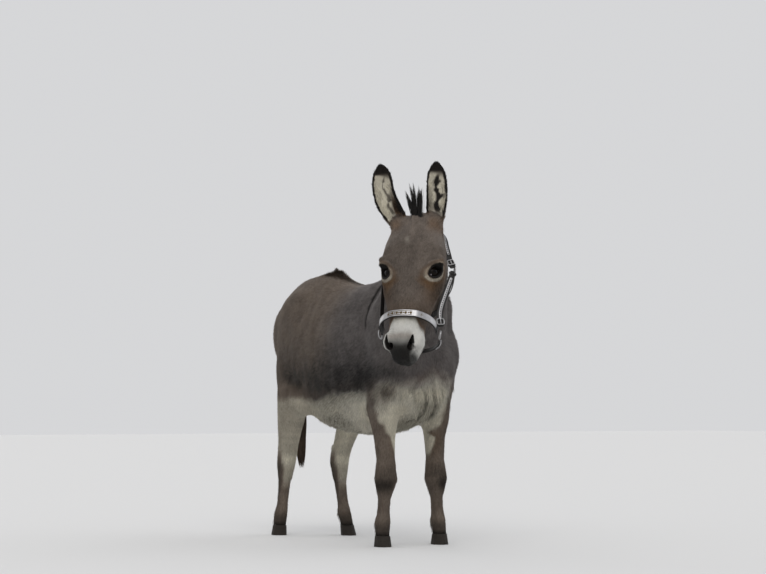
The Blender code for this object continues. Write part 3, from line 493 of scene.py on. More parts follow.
def makeSkin():
    skin = copyOf(fleshNodes + ["eye_left", "eye_right"], "skin")
    applied(skin, "DISPLACE", strength=0.0006, mid_level=0)
    applied(skin, "REMESH", mode="VOXEL", voxel_size=skinLook["voxel"])
    co, ends = placesOf(skin.data), edgesOf(skin.data)
    weights = relaxed(regionsAt(co), ends, 10)
    isHead = np.clip(weights[:, 2] + weights[:, 3] + weights[:, 4], 0, 1)
    face = ramp(inHead(co)[0], -0.06, 0.02) * isHead
    notEar = 1 - np.clip(weights[:, 4] * 1.5, 0, 1)
    thigh = weights[:, 6] * ramp(co[:, 2], 0.38, 0.47) + weights[:, 5] * ramp(co[:, 2], 0.42, 0.47)
    stages = (
        (2, 1.0), (skinLook["headRounds"], notEar), (skinLook["legRounds"], (1 - face) * notEar),
        (skinLook["trunkRounds"], np.clip(weights[:, 0] + weights[:, 1] + thigh, 0, 1)),
    )
    for rounds, strength in stages:
        co = relaxed(co, ends, rounds, 0.5 * np.broadcast_to(strength, len(co)))
    setPlaces(skin.data, co)
    # the body is thinned most, and the eyes, the nostrils and the mouth keep their fine mesh
    setMark(skin.data, "head", isHead)
    thinned(skin, isHead < 0.4, skinLook["bodyShare"])
    co, head = placesOf(skin.data), markOf(skin.data, "head") > 0.4
    side, _, height = bodyPlace(co)
    striped = (np.abs(fromCross(co)) < skinLook["stripeBand"]) | (np.abs(side) < 0.02) & (height > 0.7)
    thinned(skin, ~head & ~striped, skinLook["againShare"])
    co, head = placesOf(skin.data), markOf(skin.data, "head") > 0.4
    thinned(skin, head & ~aroundEyes(co, 0.6, 4.2) & (inHead(co)[0] < 0.37), skinLook["headShare"])
    print("skin thinned to", len(skin.data.polygons), "faces")
    for rounds in range(2):
        refine(skin, rounds)
    return skin


def aroundEyes(co, inner, outer):
    chosen = np.zeros(len(co), bool)
    for side in sides:
        z, rho = inEye(co, side)[2:]
        near = np.linalg.norm(co - middleOf("eye_" + side), axis=1) < 0.05
        chosen |= near & (z > 0) & (rho > inner) & (rho < outer)
    return chosen


def chooseFaces(skin, chosen):
    makeActive(skin)
    ends = edgesOf(skin.data)
    skin.data.vertices.foreach_set("select", chosen)
    skin.data.edges.foreach_set("select", chosen[ends[:, 0]] & chosen[ends[:, 1]])
    faces = [all(chosen[v] for v in face.vertices) for face in skin.data.polygons]
    skin.data.polygons.foreach_set("select", faces)


def thinned(skin, chosen, share):
    chooseFaces(skin, chosen)
    bpy.ops.object.mode_set(mode="EDIT")
    bpy.ops.mesh.decimate(ratio=share)
    bpy.ops.object.mode_set(mode="OBJECT")


def refine(skin, rounds):
    # finer faces round the eyes, the nostrils and the mouth, then at the lids' edges
    co = placesOf(skin.data)
    chosen = aroundEyes(co, *((0.7, 3.4), (0.8, 1.4))[rounds])
    if rounds == 0:
        along, across, up = inHead(co)
        snout = (along > 0.34) & (along < 0.50) & (np.abs(across) < 0.08) & (np.abs(up) < 0.15)
        for side in sides:
            chosen |= snout & (nostrilShare(co, side)[0] < 2.4)
        chosen |= snout & (np.abs(mouthGap(co, snout)) < 0.005)
    chooseFaces(skin, chosen)
    bpy.ops.object.mode_set(mode="EDIT")
    bpy.ops.mesh.subdivide(number_cuts=1)
    bpy.ops.mesh.select_all(action="SELECT")
    bpy.ops.mesh.quads_convert_to_tris()
    bpy.ops.object.mode_set(mode="OBJECT")


nostril = {
    "middle": -0.011, "aside": 0.039, "reach": 0.028,
    "line": ((0.400, 0.002, -0.017), (0.417, 0.0, -0.021), (0.432, -0.007, -0.030)),
    "radii": (0.0030, 0.0068, 0.0086), "depth": 0.015, "rim": 0.0034,
}


def nostrilShare(co, side):
    # how near each point is to the nostril's bent line, where 1 is its edge, seen along the way it goes in
    sign = sides[side]
    inward = -unit(headAxis * 0.62 + headUp * 0.70 + headLeft * sign * 0.42)
    places = [
        onHead(along, nostril["middle"] + sign * (nostril["aside"] + shift), up)
        for along, shift, up in nostril["line"]
    ]
    best = np.full(len(co), 99.0)
    for k in range(2):
        run = places[k + 1] - places[k]
        run = run - inward * (run @ inward)
        d = co - places[k]
        depth = d @ inward
        d = d - depth[:, None] * inward
        t = np.clip(d @ run / (run @ run), 0, 1)
        radius = nostril["radii"][k] * (1 - t) + nostril["radii"][k + 1] * t
        share = np.linalg.norm(d - t[:, None] * run, axis=1) / radius
        best = np.minimum(best, np.where(np.abs(depth) < nostril["reach"], share, 99.0))
    return best, inward, places[1]


def mouthGap(co, chosen):
    # the difference of the distances to the upper and the lower lip's solids, nought along the mouth
    upper, lower = treeOf(["muzzle"])[0], treeOf(["lower_lip"])[0]
    gap = np.full(len(co), 1.0)
    for index in np.nonzero(chosen)[0]:
        point = co[index].tolist()
        gap[index] = upper.find_nearest(point)[3] - lower.find_nearest(point)[3]
    return gap


def withMuzzle(co, normals, weights):
    # nostrils pressed in with a raised outer wing, the mouth's groove, and wrinkles over the nose
    dark = np.zeros(len(co))
    along, across, up = inHead(co)
    for side, sign in sides.items():
        share, inward, centre = nostrilShare(co, side)
        hole = ramp(share, 1.12, 0.50)
        wing = hump(share, 1.65, 0.50) * ramp((co - centre) @ headLeft * sign, -0.004, 0.006)
        co = co + inward * (hole * nostril["depth"])[:, None] + normals * (wing * nostril["rim"])[:, None]
        dark = np.maximum(dark, ramp(share, 1.45, 0.95))
    gap = mouthGap(co, (weights[:, 3] > 0.25) & (along > 0.30))
    groove = hump(gap, 0, 0.0024) * ramp(along, 0.345, 0.365)
    lips = hump(gap, 0, 0.0075) * ramp(along, 0.345, 0.365)
    fold = np.sin((along + 0.35 * np.abs(across)) * 2 * math.pi / 0.0095 + ripple(co, 0.03, 8))
    fold *= hump(along, 0.385, 0.022) * ramp(np.abs(across), 0.018, 0.034) * ramp(up, -0.085, -0.05)
    fold *= weights[:, 3]
    co = co - normals * (groove * 0.0034 - (lips - groove) * 0.0012 - fold * 0.0005)[:, None]
    return co, dark, np.clip(lips * 0.85 + groove, 0, 1)


def foldWave(co, side, height):
    return np.sin(side * 2 * math.pi / 0.034 + 1.4 * np.sin(height * 40) + ripple(co, 0.06, 4))


earGrowth = {
    "wall": {"left": 0.0014, "right": 0.0045}, "root": {"left": 0.006, "right": 0.024},
    "tip": 0.0042, "poll": 0.016,
}


def withEars(co, normals, weights):
    # the ears' walls drawn out to full width and rounder tips, their inner roots reaching over to the poll
    across, up = inHead(co)[1:]
    shift = co * 0
    for name, sign in sides.items():
        share, place, *_, acrossWay = inEar(co, normals, name)
        mine = np.clip(weights[:, 4] * 1.6, 0, 1) * ((across > 0) == (name == "left"))
        wider = earGrowth["wall"][name] * ramp(share, 0.0, 0.3) + earGrowth["tip"] * hump(share, 0.90, 0.16)
        shift += acrossWay * (mine * wider * np.clip(place, -1.1, 1.1))[:, None]
        medial = -place * sign
        root = ramp(share, -0.12, 0.06) * ramp(share, 0.60, 0.05)
        root = root * ramp(medial, 0.0, 0.9) * ramp(medial, 2.8, 1.6)
        root = root * (np.abs(up) < 0.2) * np.clip(weights[:, 2] + weights[:, 4], 0, 1)
        shift -= (headLeft * sign + upright * 0.45) * (earGrowth["root"][name] * root)[:, None]
    crown = ramp(np.linalg.norm(co - onHead(0.0, 0.004, -0.015), axis=1), 0.075, 0.02)
    return co + shift + upright * (earGrowth["poll"] * crown)[:, None]


def withFolds(co, normals, weights):
    # loose skin: the breast's upright folds and creases, wrinkles of the neck, and the muscles' soft borders
    side, forward, height = bodyPlace(co)
    body = weights[:, 0] + weights[:, 1]
    breast = ramp(forward, 0.25, 0.31) * ramp(height, 0.38, 0.43) * ramp(height, 0.60, 0.52) * body
    middle = hump(side, 0.006, 0.010) * ramp(height, 0.53, 0.47)
    dent = breast * (0.0026 * foldWave(co, side, height) * ramp(height, 0.55, 0.49) + 0.010 * middle)
    creases = np.sin((forward * 0.9 + height * 0.5) * 2 * math.pi / 0.055 + ripple(co, 0.12, 5) * 1.6)
    dent += 0.0020 * creases * weights[:, 1] * ramp(height, 0.95, 0.86)
    flat = weights[:, 0] * ramp(np.abs(normals[:, 0]), 0.3, 0.7)
    shoulder = hump(forward, 0.150 + 0.10 * (height - 0.62), 0.016)
    shoulder = shoulder * ramp(height, 0.45, 0.52) * ramp(height, 0.78, 0.70)
    flank = hump(forward, -0.120 - 0.45 * (0.56 - height), 0.022)
    flank = flank * ramp(height, 0.44, 0.50) * ramp(height, 0.68, 0.60)
    dent += flat * (0.0050 * shoulder + 0.0060 * flank)
    for leg in legParts:
        inward = aroundLeg(co, leg)[0]
        mine = ofLeg(leg, weights, side)
        cord = hump(inward, 0.35, 0.30) + hump(inward, -0.55, 0.25)
        dent += 0.0018 * mine * cord * ramp(height, 0.10, 0.13) * ramp(height, 0.17, 0.15)
        knob = 0.262 if leg.startswith("front") else 0.20
        dent -= 0.0022 * mine * hump(inward, 0.9, 0.25) * hump(height, knob, 0.012)
    return co - normals * dent[:, None]


skin = makeSkin()
mesh = skin.data
co, ends, tris = placesOf(mesh), edgesOf(mesh), trianglesOf(mesh)
weights = relaxed(regionsAt(co), ends, 14)
co = co - normalsOf(co, tris) * (coatDepth(weights, co) + 0.0006)[:, None]
co = relaxed(co, ends, 2, 0.4 * (1 - np.clip(weights[:, 4] * 1.5, 0, 1)))
co = withEars(co, normalsOf(co, tris), weights)
co = relaxed(co, ends, 1, 0.3)
co = withFolds(co, normalsOf(co, tris), weights)
co, nostrilDark, lipDark = withMuzzle(co, normalsOf(co, tris), weights)
co = withLids(co, ends)
setPlaces(mesh, co)
print("skin:", len(tris), "triangles")
edited(skin, (bpy.ops.uv.smart_project, {"angle_limit": math.radians(66), "island_margin": 0.001}))
mesh.uv_layers[0].name = "OFBake"
mesh.shade_smooth()
ridden(skin, "coat", *fleshNodes)

# ---- markings: how pale, dark, rusty, cool or toned the coat is at each point of the skin; the tone and dark marks also carry painted shade and a painted highlight


def makeMarks(co, normals, weights):
    side, forward, height = bodyPlace(co)
    across = inHead(co)[1]
    ragged = ripple(co, 0.07, 11) * 0.007 + ripple(co, 0.02, 12) * 0.004
    trunk, tail = weights[:, 0], weights[:, 7]
    body = np.clip(trunk + weights[:, 1], 0, 1)
    face = np.clip(weights[:, 2] + weights[:, 3], 0, 1)
    m = markLook
    # belly and chest
    edge = m["bellyEdge"] + 0.024 * ramp(forward, -0.05, 0.22)
    chest = np.maximum(m["chestEdge"] - 0.42 * np.abs(side), edge)
    ahead = ramp(forward, 0.2, 0.28) * ramp(normals[:, 1], 0.2, -0.3)
    edge = np.where(forward > 0.18, edge + (chest - edge) * ahead, edge)
    breast = ramp(forward, 0.28, 0.33)
    soft = 0.014 + 0.022 * breast
    pale = ramp(height + ragged * (1 + breast), edge + soft, edge - soft) * body
    rust = 0.25 * hump(height - edge, 0.012, 0.022) * body
    cool = np.clip(weights[:, 1] + trunk * ramp(forward, -0.06, 0.14), 0, 1) * 0.9 * (1 - pale) + 0.25 * face
    cool += weights[:, 3] * 0.7
    # painted shade: the low flank, the folds of the breast, the belly's underside, and beside the breast
    tone = -0.74 * hump(height, 0.508, 0.100) * trunk
    tone *= ramp(forward, -0.45, -0.20) * ramp(forward, 0.36, 0.20)
    folds = 0.32 * ramp(foldWave(co, side, height), 0.1, 1.0) * ramp(height, 0.505, 0.47)
    tone -= body * pale * breast * (0.38 * ramp(height, 0.475, 0.43) + folds + 0.12)
    tone -= body * pale * 0.40 * (1 - breast) * ramp(height, 0.435, 0.385)
    beside = 0.42 * ramp(side, -0.085, -0.115) + 0.30 * ramp(side, 0.10, 0.13)
    tone -= beside * hump(height, 0.525, 0.060) * body * ramp(forward, 0.16, 0.26)
    tone += 0.04 * hump(height, 0.80, 0.10) * trunk - 0.10 * ramp(forward, -0.1, -0.3) * body
    # painted shade on the low flank, through the dark mark as well
    dark = 0.28 * hump(height, 0.500, 0.066) * trunk * ramp(forward, -0.44, -0.28) * ramp(forward, 0.34, 0.16)
    dark *= 1 - pale
    # stripe down the back and cross over the shoulders
    dark += 0.85 * hump(side, 0, 0.014) * ramp(normals[:, 2], 0.1, 0.5) * ramp(forward, 0.30, 0.22) * trunk
    stripe = 0.0062 + 0.004 * ramp(height, 0.78, 0.84)
    dark += 0.95 * hump(fromCross(co), ragged * 0.2, stripe) * ramp(height, 0.674, 0.69) * body
    marks = pale, dark, rust, tone
    for leg in legParts:
        legMarks(co, leg, weights, (side, forward, height), ragged, marks)
    faceMarks(co, face, ragged, marks)
    for name in sides:
        earMarks(co, normals, name, weights[:, 4] * ((across > 0) == (name == "left")), marks)
    dark += 0.85 * tail * ramp(height, 0.80, 0.74)
    lows = {"pale": 0, "dark": 0, "rust": 0, "tone": -1, "cool": 0}
    return {name: np.clip(values, low, 1) for (name, low), values in zip(lows.items(), marks + (cool,))}


def legMarks(co, leg, weights, place, ragged, marks):
    pale, dark, rust, tone = marks
    side, forward, height = place
    inward, ahead = aroundLeg(co, leg)
    mine = ofLeg(leg, weights, side)
    if leg.startswith("front"):
        # dark outside that runs up into the flank, a pale strip inside, and dark bars at the knee
        fore = weights[:, 5]
        outside = ramp(inward, 0.15, -0.25) * ramp(ahead, -0.85, -0.35) * ramp(height, 0.38, 0.44)
        near = hump(np.minimum(ahead, 0), 0, 0.9) * outside * ((side > 0) == leg.endswith("left"))
        near = near * np.maximum(np.clip(fore * 3, 0, 1), ramp(height, 0.455, 0.47))
        pale *= 1 - 0.9 * near * ramp(height, 0.53, 0.47) * ramp(forward, 0.17, 0.21)
        pale += mine * 0.8 * ramp(height, 0.385, 0.43) * ramp(ahead, -0.25, -0.6)
        turn = np.interp(height, *markLook[leg.replace("front", "turn")]) + ragged * 14
        pale += mine * ramp(inward, turn - 0.12, turn + 0.12) * ramp(height, 0.262, 0.30) * 0.9
        outer = 0.76 * hump(height, 0.190, 0.022) * ramp(inward, 0.9, -0.1)
        dark += mine * (outer + 0.30 * hump(height, 0.225, 0.022) + 0.20 * hump(height, 0.13, 0.04))
        rust += mine * 0.3 * hump(height, 0.33, 0.05) * ramp(inward, -0.4, 0.4)
        # painted shade: the left foreleg is made darker above its lowest part
        if leg.endswith("left"):
            tone -= mine * 0.14 * ramp(height, 0.14, 0.2)
    else:
        # pale gaskin and hock, faint bars, and a dark front and back of the cannon
        rise = ramp(height, 0.255, 0.31)
        top = ramp(height + ragged, 0.478, 0.452)
        pale += mine * top * rise * (0.50 + 0.30 * ramp(inward, -0.3, 0.6) + 0.12 * ramp(ahead, -0.2, 0.7))
        pale += mine * ramp(inward, 0.0, 0.5) * ramp(height, 0.57, 0.50) * ramp(height, 0.44, 0.47) * 0.8
        pale += mine * 0.85 * hump(height, 0.262, 0.020) * ramp(ahead, 0.15, 0.65)
        pale += mine * 0.55 * ramp(ahead, 0.5, 0.9) * ramp(height, 0.150, 0.205) * ramp(height, 0.275, 0.24)
        bars = 0.08 * np.sin(height * 2 * math.pi / 0.026 + ripple(co, 0.06, 15) * 1.3)
        bars *= ramp(height, 0.28, 0.31)
        tone += mine * bars * ramp(height, 0.42, 0.37) * ramp(ahead, -0.3, 0.4)
        cannon = ramp(height, 0.262, 0.235)
        dark += mine * 0.38 * ramp(np.abs(ahead), 0.75, 0.2) * ramp(height, 0.12, 0.16) * cannon
        dark += mine * 0.30 * ramp(ahead, 0.2, -0.6) * cannon * ramp(height, 0.06, 0.1)
    dark += mine * (0.62 * ramp(height, 0.092, 0.055) + 0.25 * ramp(height, 0.050, 0.040))
    tone += mine * 0.08 * ramp(height, 0.19, 0.16)


def faceMarks(co, face, ragged, marks):
    pale, dark, rust, tone = marks
    along, across, up = inHead(co)
    out = np.abs(across)
    for name in sides:
        x, y, z, rho = inEye(co, name)
        near = face * (z > -0.012) * (np.linalg.norm(co - middleOf("eye_" + name), axis=1) < 0.07)
        spread = np.hypot(x / np.where(x < 0, 0.0345, 0.0305), y / np.where(y > 0, 0.0200, 0.0215))
        width = 0.15 + 0.20 * ramp(-x / 0.03 - y / 0.035, -0.4, 0.9)
        ring = ramp(spread, 0.96, 1.06) * ramp(spread, 1.12 + width, 1.00 + width * 0.6)
        pale += near * ring * (0.30 + 0.34 * ramp(-y - x * 0.3, 0.000, 0.016))
        rust += near * ring * 0.95
        below = ramp(spread, 1.2, 1.6) * ramp(spread, 2.9, 1.9) * ramp(-y - x * 0.3, 0.0, 0.02)
        rust += near * (0.40 * hump(spread, 1.22 + width, 0.20) + 0.38 * below)
        dark += near * np.maximum(ramp(rho, 1.85, 1.45), ramp(spread, 1.04, 0.90))
    # muzzle: pale from the noseband down, tan behind it at the sides, charcoal nose and lips
    edge = 0.340 + 0.026 * ramp(out, 0.030, 0.050) + ragged * 0.4
    pale += face * ramp(along, edge - 0.007, edge + 0.010) * 0.97
    behind = 0.70 * hump(along - edge, -0.004, 0.013) * ramp(out, 0.018, 0.042)
    rust += face * (behind + 0.25 * hump(along, 0.315, 0.03))
    rust += face * 0.55 * hump(along, 0.240, 0.045) * hump(out, 0.072, 0.026) * ramp(up, -0.12, -0.07)
    aside = np.abs(across + 0.008)
    nose = ramp(along + ragged * 0.6, 0.388, 0.432)
    nose *= ramp(aside, 0.044, 0.030 - 0.006 * ramp(along, 0.43, 0.45))
    nose = np.maximum(nose, 0.85 * ramp(along, 0.438, 0.452) * ramp(aside, 0.060, 0.040))
    dark += face * 0.96 * nose
    tone -= face * 0.55 * ramp(along, 0.424, 0.444) * ramp(aside, 0.07, 0.035)
    outer = ramp(out, 0.060, 0.082) * ramp(along, 0.16, 0.22)
    tone += face * (-0.16 * hump(along, 0.235, 0.09) - 0.26 * outer)
    tan = hump(along, 0.400, 0.016) * ramp(aside, 0.05, 0.03)
    rust += face * 0.7 * tan
    pale *= 1 - 0.5 * face * tan
    pale += face * 0.75 * ramp(up, -0.085, -0.105) * ramp(along, 0.27, 0.33)
    # star, ear roots and forehead
    alongStar, acrossStar = markLook["star"]
    star = np.hypot((along - alongStar) / 0.015, (across - acrossStar) / 0.011)
    pale += face * 0.38 * ramp(star + ragged * 60, 1.5, 0.0) * ramp(up, -0.03, 0.0)
    rust += face * 0.50 * hump(along, 0.018, 0.026) * ramp(out, 0.032, 0.055)
    tone -= face * 0.12 * hump(along, 0.10, 0.05) * ramp(out, 0.05, 0.02)
    # painted highlight along the ridge of the nose
    tone += face * 0.06 * hump(along, 0.27, 0.05) * ramp(out, 0.03, 0.0)


# how bare the brown inner edge is and how strong the dark streak
earLook = {"bare": {"left": 0.3, "right": 1.0}, "streak": {"left": 1.0, "right": 0.62}}


def earMarks(co, normals, name, ear, marks):
    pale, dark, rust, tone = marks
    share, across, turn, inner = inEar(co, normals, name)[:4]
    medial = -across * sides[name]
    wave = ripple(co, 0.03, 21)
    thick = 0.12 * ramp(across, -0.2, 0.6) * ramp(share, 0.3, 0.6)
    tip = ramp(share, 0.77 + 0.04 * wave - 0.05 * across, 0.86)
    rim = np.maximum(ramp(turn, 0.78 - thick, 0.90 - thick), tip) * ramp(share, 0.02, 0.16)
    bare = earLook["bare"][name] * ramp(share, 0.62, 0.30)
    bare = bare * ramp(medial, 0.05 + share * 0.7, 0.35 + share * 0.8)
    cup = inner * (1 - rim) * (1 - bare)
    bend = 0.05 + 0.16 * np.sin(share * 17 + 0.6) * ramp(share, 0.2, 0.4) + 0.10 * wave
    size = earLook["streak"][name]
    ragged = 0.05 * ripple(co, 0.007, 22)
    thick = 0.10 + 0.08 * np.sin(share * 27 + 1 + wave * 2) + 0.06 * wave
    thick = thick + 0.11 * hump(share, 0.42, 0.2) + ragged
    streak = np.clip(hump(across, bend + ragged, np.maximum(thick * size, 0.02)) * 1.9, 0, 1)
    streak = streak * ramp(share, 0.10, 0.22) * ramp(share, 0.82, 0.72) * size
    pale += ear * cup * (0.88 - 0.2 * ramp(share, 0.5, 0.8)) * (1 - 0.9 * streak)
    dark += ear * (rim * 0.95 + cup * 0.97 * streak + 0.45 * bare * ramp(share, 0.0, 0.4))
    rust += ear * bare * 0.6
    tone += ear * cup * 0.14
    root = ramp(share, 0.5, 0.1) * ramp(medial, 0.1, 0.8)
    rust += ear * root * 0.5
    dark += ear * root * (0.35 + 0.45 * ramp(share, 0.12, 0.3)) * (1 - cup * 0.6)
    rust += ear * (1 - inner) * (0.55 * ramp(share, 0.45, 0.05)) + ear * cup * 0.20 * ramp(share, 0.3, 0.0)
    dark += ear * (1 - inner) * (1 - rim) * (0.25 + 0.45 * hump(share, 0.22, 0.14) * ramp(medial, 0.0, 0.5))


normals = normalsOf(co, tris)
marks = makeMarks(co, normals, weights)
marks["dark"] = np.maximum(marks["dark"], np.maximum(nostrilDark, lipDark * 0.9))
for name, values in marks.items():
    setMark(mesh, name, values)
setMark(mesh, "shade", np.full(len(co), -0.25))
setMark(mesh, "tip", np.zeros(len(co)))


# ---- coat colour, shared by the skin and every tuft


def srgb(red, green, blue):
    return tuple(((c / 255 + 0.055) / 1.055) ** 2.4 for c in (red, green, blue))


coatColours = {
    "warm": srgb(109, 98, 88), "cool": srgb(99, 95, 94), "pale": srgb(206, 200, 182),
    "coolPale": srgb(204, 203, 198), "dark": srgb(20, 17, 15), "rust": srgb(112, 84, 56),
    # how strongly the mottling and the flecks vary the coat, partly its own uneven colour and partly painted
    # sheen
    "mottleAndSheen": 0.24, "fleckAndSheen": 0.16,
}
markKinds = ("Pale", "Dark", "Rust", "Cool", "Tone", "Shade", "Tip")
lieTurn = (math.radians(-38), 0, 0)


def newTree(name, inputs, outputs):
    tree = bpy.data.node_groups.new(name, "ShaderNodeTree")
    for socket, kind, value in inputs:
        made = tree.interface.new_socket(socket, in_out="INPUT", socket_type="NodeSocket" + kind)
        if value is not None:
            made.default_value = value
    for socket, kind in outputs:
        tree.interface.new_socket(socket, in_out="OUTPUT", socket_type="NodeSocket" + kind)
    return tree, tree.nodes.new("NodeGroupInput"), tree.nodes.new("NodeGroupOutput")


def maths(tree, how, a, b=None, clamp=False):
    node = tree.nodes.new("ShaderNodeMath")
    node.operation, node.use_clamp = how, clamp
    for slot, value in enumerate((a, b)):
        if value is None:
            continue
        if isinstance(value, (int, float)):
            node.inputs[slot].default_value = value
        else:
            tree.links.new(value, node.inputs[slot])
    return node.outputs[0]


def mixed(tree, share, first, second, how="MIX"):
    node = tree.nodes.new("ShaderNodeMix")
    node.data_type, node.blend_type = "RGBA", how
    for socket, value in ((node.inputs[0], share), (node.inputs[6], first), (node.inputs[7], second)):
        if isinstance(value, bpy.types.NodeSocket):
            tree.links.new(value, socket)
        elif isinstance(value, tuple):
            socket.default_value = (*value, 1)
        else:
            socket.default_value = value
    return node.outputs[2]


def noise(tree, scale, detail=3, stretch=None, turn=None, rough=0.5):
    where = tree.nodes.new("ShaderNodeTexCoord").outputs["Object"]
    if stretch or turn:
        mapping = tree.nodes.new("ShaderNodeMapping")
        mapping.inputs["Scale"].default_value = stretch or (1, 1, 1)
        mapping.inputs["Rotation"].default_value = turn or (0, 0, 0)
        tree.links.new(where, mapping.inputs["Vector"])
        where = mapping.outputs["Vector"]
    node = tree.nodes.new("ShaderNodeTexNoise")
    node.inputs["Scale"].default_value = scale
    node.inputs["Detail"].default_value = detail
    node.inputs["Roughness"].default_value = rough
    tree.links.new(where, node.inputs["Vector"])
    return node.outputs["Fac"]


def makeCoatColour():
    sockets = [(k, "Float", 0.0) for k in markKinds]
    tree, given, result = newTree("donkeyCoatColour", sockets, [("Color", "Color")])
    c = coatColours
    colour = mixed(tree, given.outputs["Cool"], c["warm"], c["cool"])
    colour = mixed(tree, maths(tree, "MULTIPLY", given.outputs["Rust"], 0.8), colour, c["rust"])
    pale = mixed(tree, given.outputs["Cool"], c["pale"], c["coolPale"])
    colour = mixed(tree, given.outputs["Pale"], colour, pale)
    colour = mixed(tree, given.outputs["Dark"], colour, c["dark"])
    # mottling that runs back and down with the hair and fine flecks, both partly the coat's own uneven colour
    # and partly painted sheen, and each tuft's own shade
    broad = maths(tree, "SUBTRACT", noise(tree, 24, 4, (1, 1.25, 0.85), lieTurn), 0.5)
    fine = maths(tree, "SUBTRACT", noise(tree, 160, 2, (1, 1.4, 0.6), lieTurn), 0.5)
    light = maths(tree, "MULTIPLY", broad, c["mottleAndSheen"] * 4)
    light = maths(tree, "ADD", light, maths(tree, "MULTIPLY", fine, c["fleckAndSheen"] * 4))
    calm = maths(tree, "SUBTRACT", 1.0, maths(tree, "MULTIPLY", given.outputs["Pale"], 0.65))
    light = maths(tree, "MULTIPLY", light, calm)
    # the tone mark brings in painted shade and a painted highlight as well as the coat's own darker and
    # lighter parts
    for key, strength in (("Tone", 1.0), ("Shade", 0.40), ("Tip", 0.10)):
        light = maths(tree, "ADD", light, maths(tree, "MULTIPLY", given.outputs[key], strength))
    light = maths(tree, "ADD", light, 1.0)
    light = maths(tree, "MAXIMUM", light, 0.15)
    grey = tree.nodes.new("ShaderNodeCombineColor")
    for socket in grey.inputs[:3]:
        tree.links.new(light, socket)
    colour = mixed(tree, 1.0, colour, grey.outputs[0], "MULTIPLY")
    tree.links.new(colour, result.inputs["Color"])
    return tree


coatColour = makeCoatColour()


def newMaterial(name, roughness, **sockets):
    material = bpy.data.materials.new(name)
    material.use_nodes = True
    tree = material.node_tree
    shader = tree.nodes["Principled BSDF"]
    shader.inputs["Roughness"].default_value = roughness
    for key, value in sockets.items():
        socket = shader.inputs[key.replace("_", " ")]
        socket.default_value = (*value, 1) if isinstance(value, tuple) else value
    return material, tree, shader


def bumped(tree, shader, height, distance, strength):
    bump = tree.nodes.new("ShaderNodeBump")
    bump.inputs["Distance"].default_value = distance
    bump.inputs["Strength"].default_value = strength
    tree.links.new(height, bump.inputs["Height"])
    tree.links.new(bump.outputs["Normal"], shader.inputs["Normal"])


def marked(tree, name):
    node = tree.nodes.new("ShaderNodeAttribute")
    node.attribute_name = name
    return node.outputs["Fac"]


def coatMaterial(name, roughness, sheen, bumpSize):
    material, tree, shader = newMaterial(
        name, roughness, Sheen_Weight=sheen, Sheen_Roughness=0.45, Specular_IOR_Level=0.14
    )
    group = tree.nodes.new("ShaderNodeGroup")
    group.node_tree = coatColour
    for key in markKinds:
        tree.links.new(marked(tree, key.lower()), group.inputs[key])
    tree.links.new(group.outputs["Color"], shader.inputs["Base Color"])
    if bumpSize:
        bumped(tree, shader, noise(tree, 420, 3, (1, 1.5, 0.55), lieTurn, 0.7), bumpSize, 0.6)
    return material


mesh.materials.append(coatMaterial("skinWithShortHair", 0.78, 0.04, 0.0012))
hairMaterial = coatMaterial("coatHair", 0.66, 0.05, 0)


# ---- the lie of the coat, and the tufts that follow it


def lieOf(co, normals, weights):
    side = bodyPlace(co)[0]
    along, across = inHead(co)[:2]
    back = np.array([0.0, 1.0, 0.0])
    body = np.tile(back * 0.80 - upright * 0.62, (len(co), 1))
    leg = np.tile(back * 0.12 - upright, (len(co), 1))
    front = ramp(normals @ headUp, -0.1, 0.6)[:, None]
    swirl = (ramp(along, 0.075, 0.115) * 2 - 1)[:, None]
    brow = headAxis * swirl + headLeft * (np.sign(across) * ramp(np.abs(across), 0.0, 0.03) * 0.45)[:, None]
    cheek = np.tile(headAxis * 0.25 - headUp * 0.85 - upright * 0.2, (len(co), 1))
    face = front * brow + (1 - front) * cheek
    muzzle = np.tile(headAxis * 0.55 - headUp * 0.75, (len(co), 1))
    near = (ramp(np.abs(fromCross(co)), 0.035, 0.012) * ramp(np.abs(side), 0.02, 0.05) * 0.85)[:, None]
    body = body * (1 - near) + (back * -0.12 - upright) * near
    upwards = np.tile(upright, (len(co), 1))
    parts = [body, body, face, muzzle, upwards, leg, leg, -upwards]
    lie = sum(weights[:, k:k + 1] * unit(part) for k, part in enumerate(parts))
    for name in sides:
        _, place, _, inner, axis, opening, acrossWay = inEar(co, normals, name)
        mine = (weights[:, 4] * ((across > 0) == (name == "left")))[:, None]
        lie += mine * (axis - upright + inner[:, None] * (opening * 0.25 - acrossWay * place[:, None] * 0.5))
    lie = lie - normals * (lie * normals).sum(1)[:, None]
    return unit(lie)


def tubeFaces(rows, size):
    # two triangles for each side of a tube, from row to row
    faces = []
    for row in range(rows - 1):
        for k in range(size):
            a, b = row * size + k, row * size + (k + 1) % size
            faces += [(a, b, b + size), (a, b + size, a + size)]
    return faces


def locks(paths, widths, flatness, rises):
    # three-sided strands along the given points, tapered to their tips; rises is each one's outer side
    n, m = paths.shape[:2]
    tangent = unit(np.gradient(paths, axis=1))
    rise = rises[:, None] - tangent * (rises[:, None] * tangent).sum(2, keepdims=True)
    rise = unit(rise)
    across = np.cross(rise, tangent)
    half = (widths / 2)[:, :, None]
    corners = [paths + across * half, paths + rise * half * flatness * 2, paths - across * half]
    ring = np.stack(corners, 2)[:, :-1]
    co = np.concatenate([ring.reshape(n, -1, 3), paths[:, -1:]], 1)
    faces = tubeFaces(m - 1, 3)
    last = (m - 2) * 3
    for k in range(3):
        faces.append((last + k, last + (k + 1) % 3, 3 * (m - 1)))
    per = 3 * (m - 1) + 1
    tris = (np.array(faces)[None] + (np.arange(n) * per)[:, None, None]).reshape(-1, 3)
    return co.reshape(-1, 3), tris, per


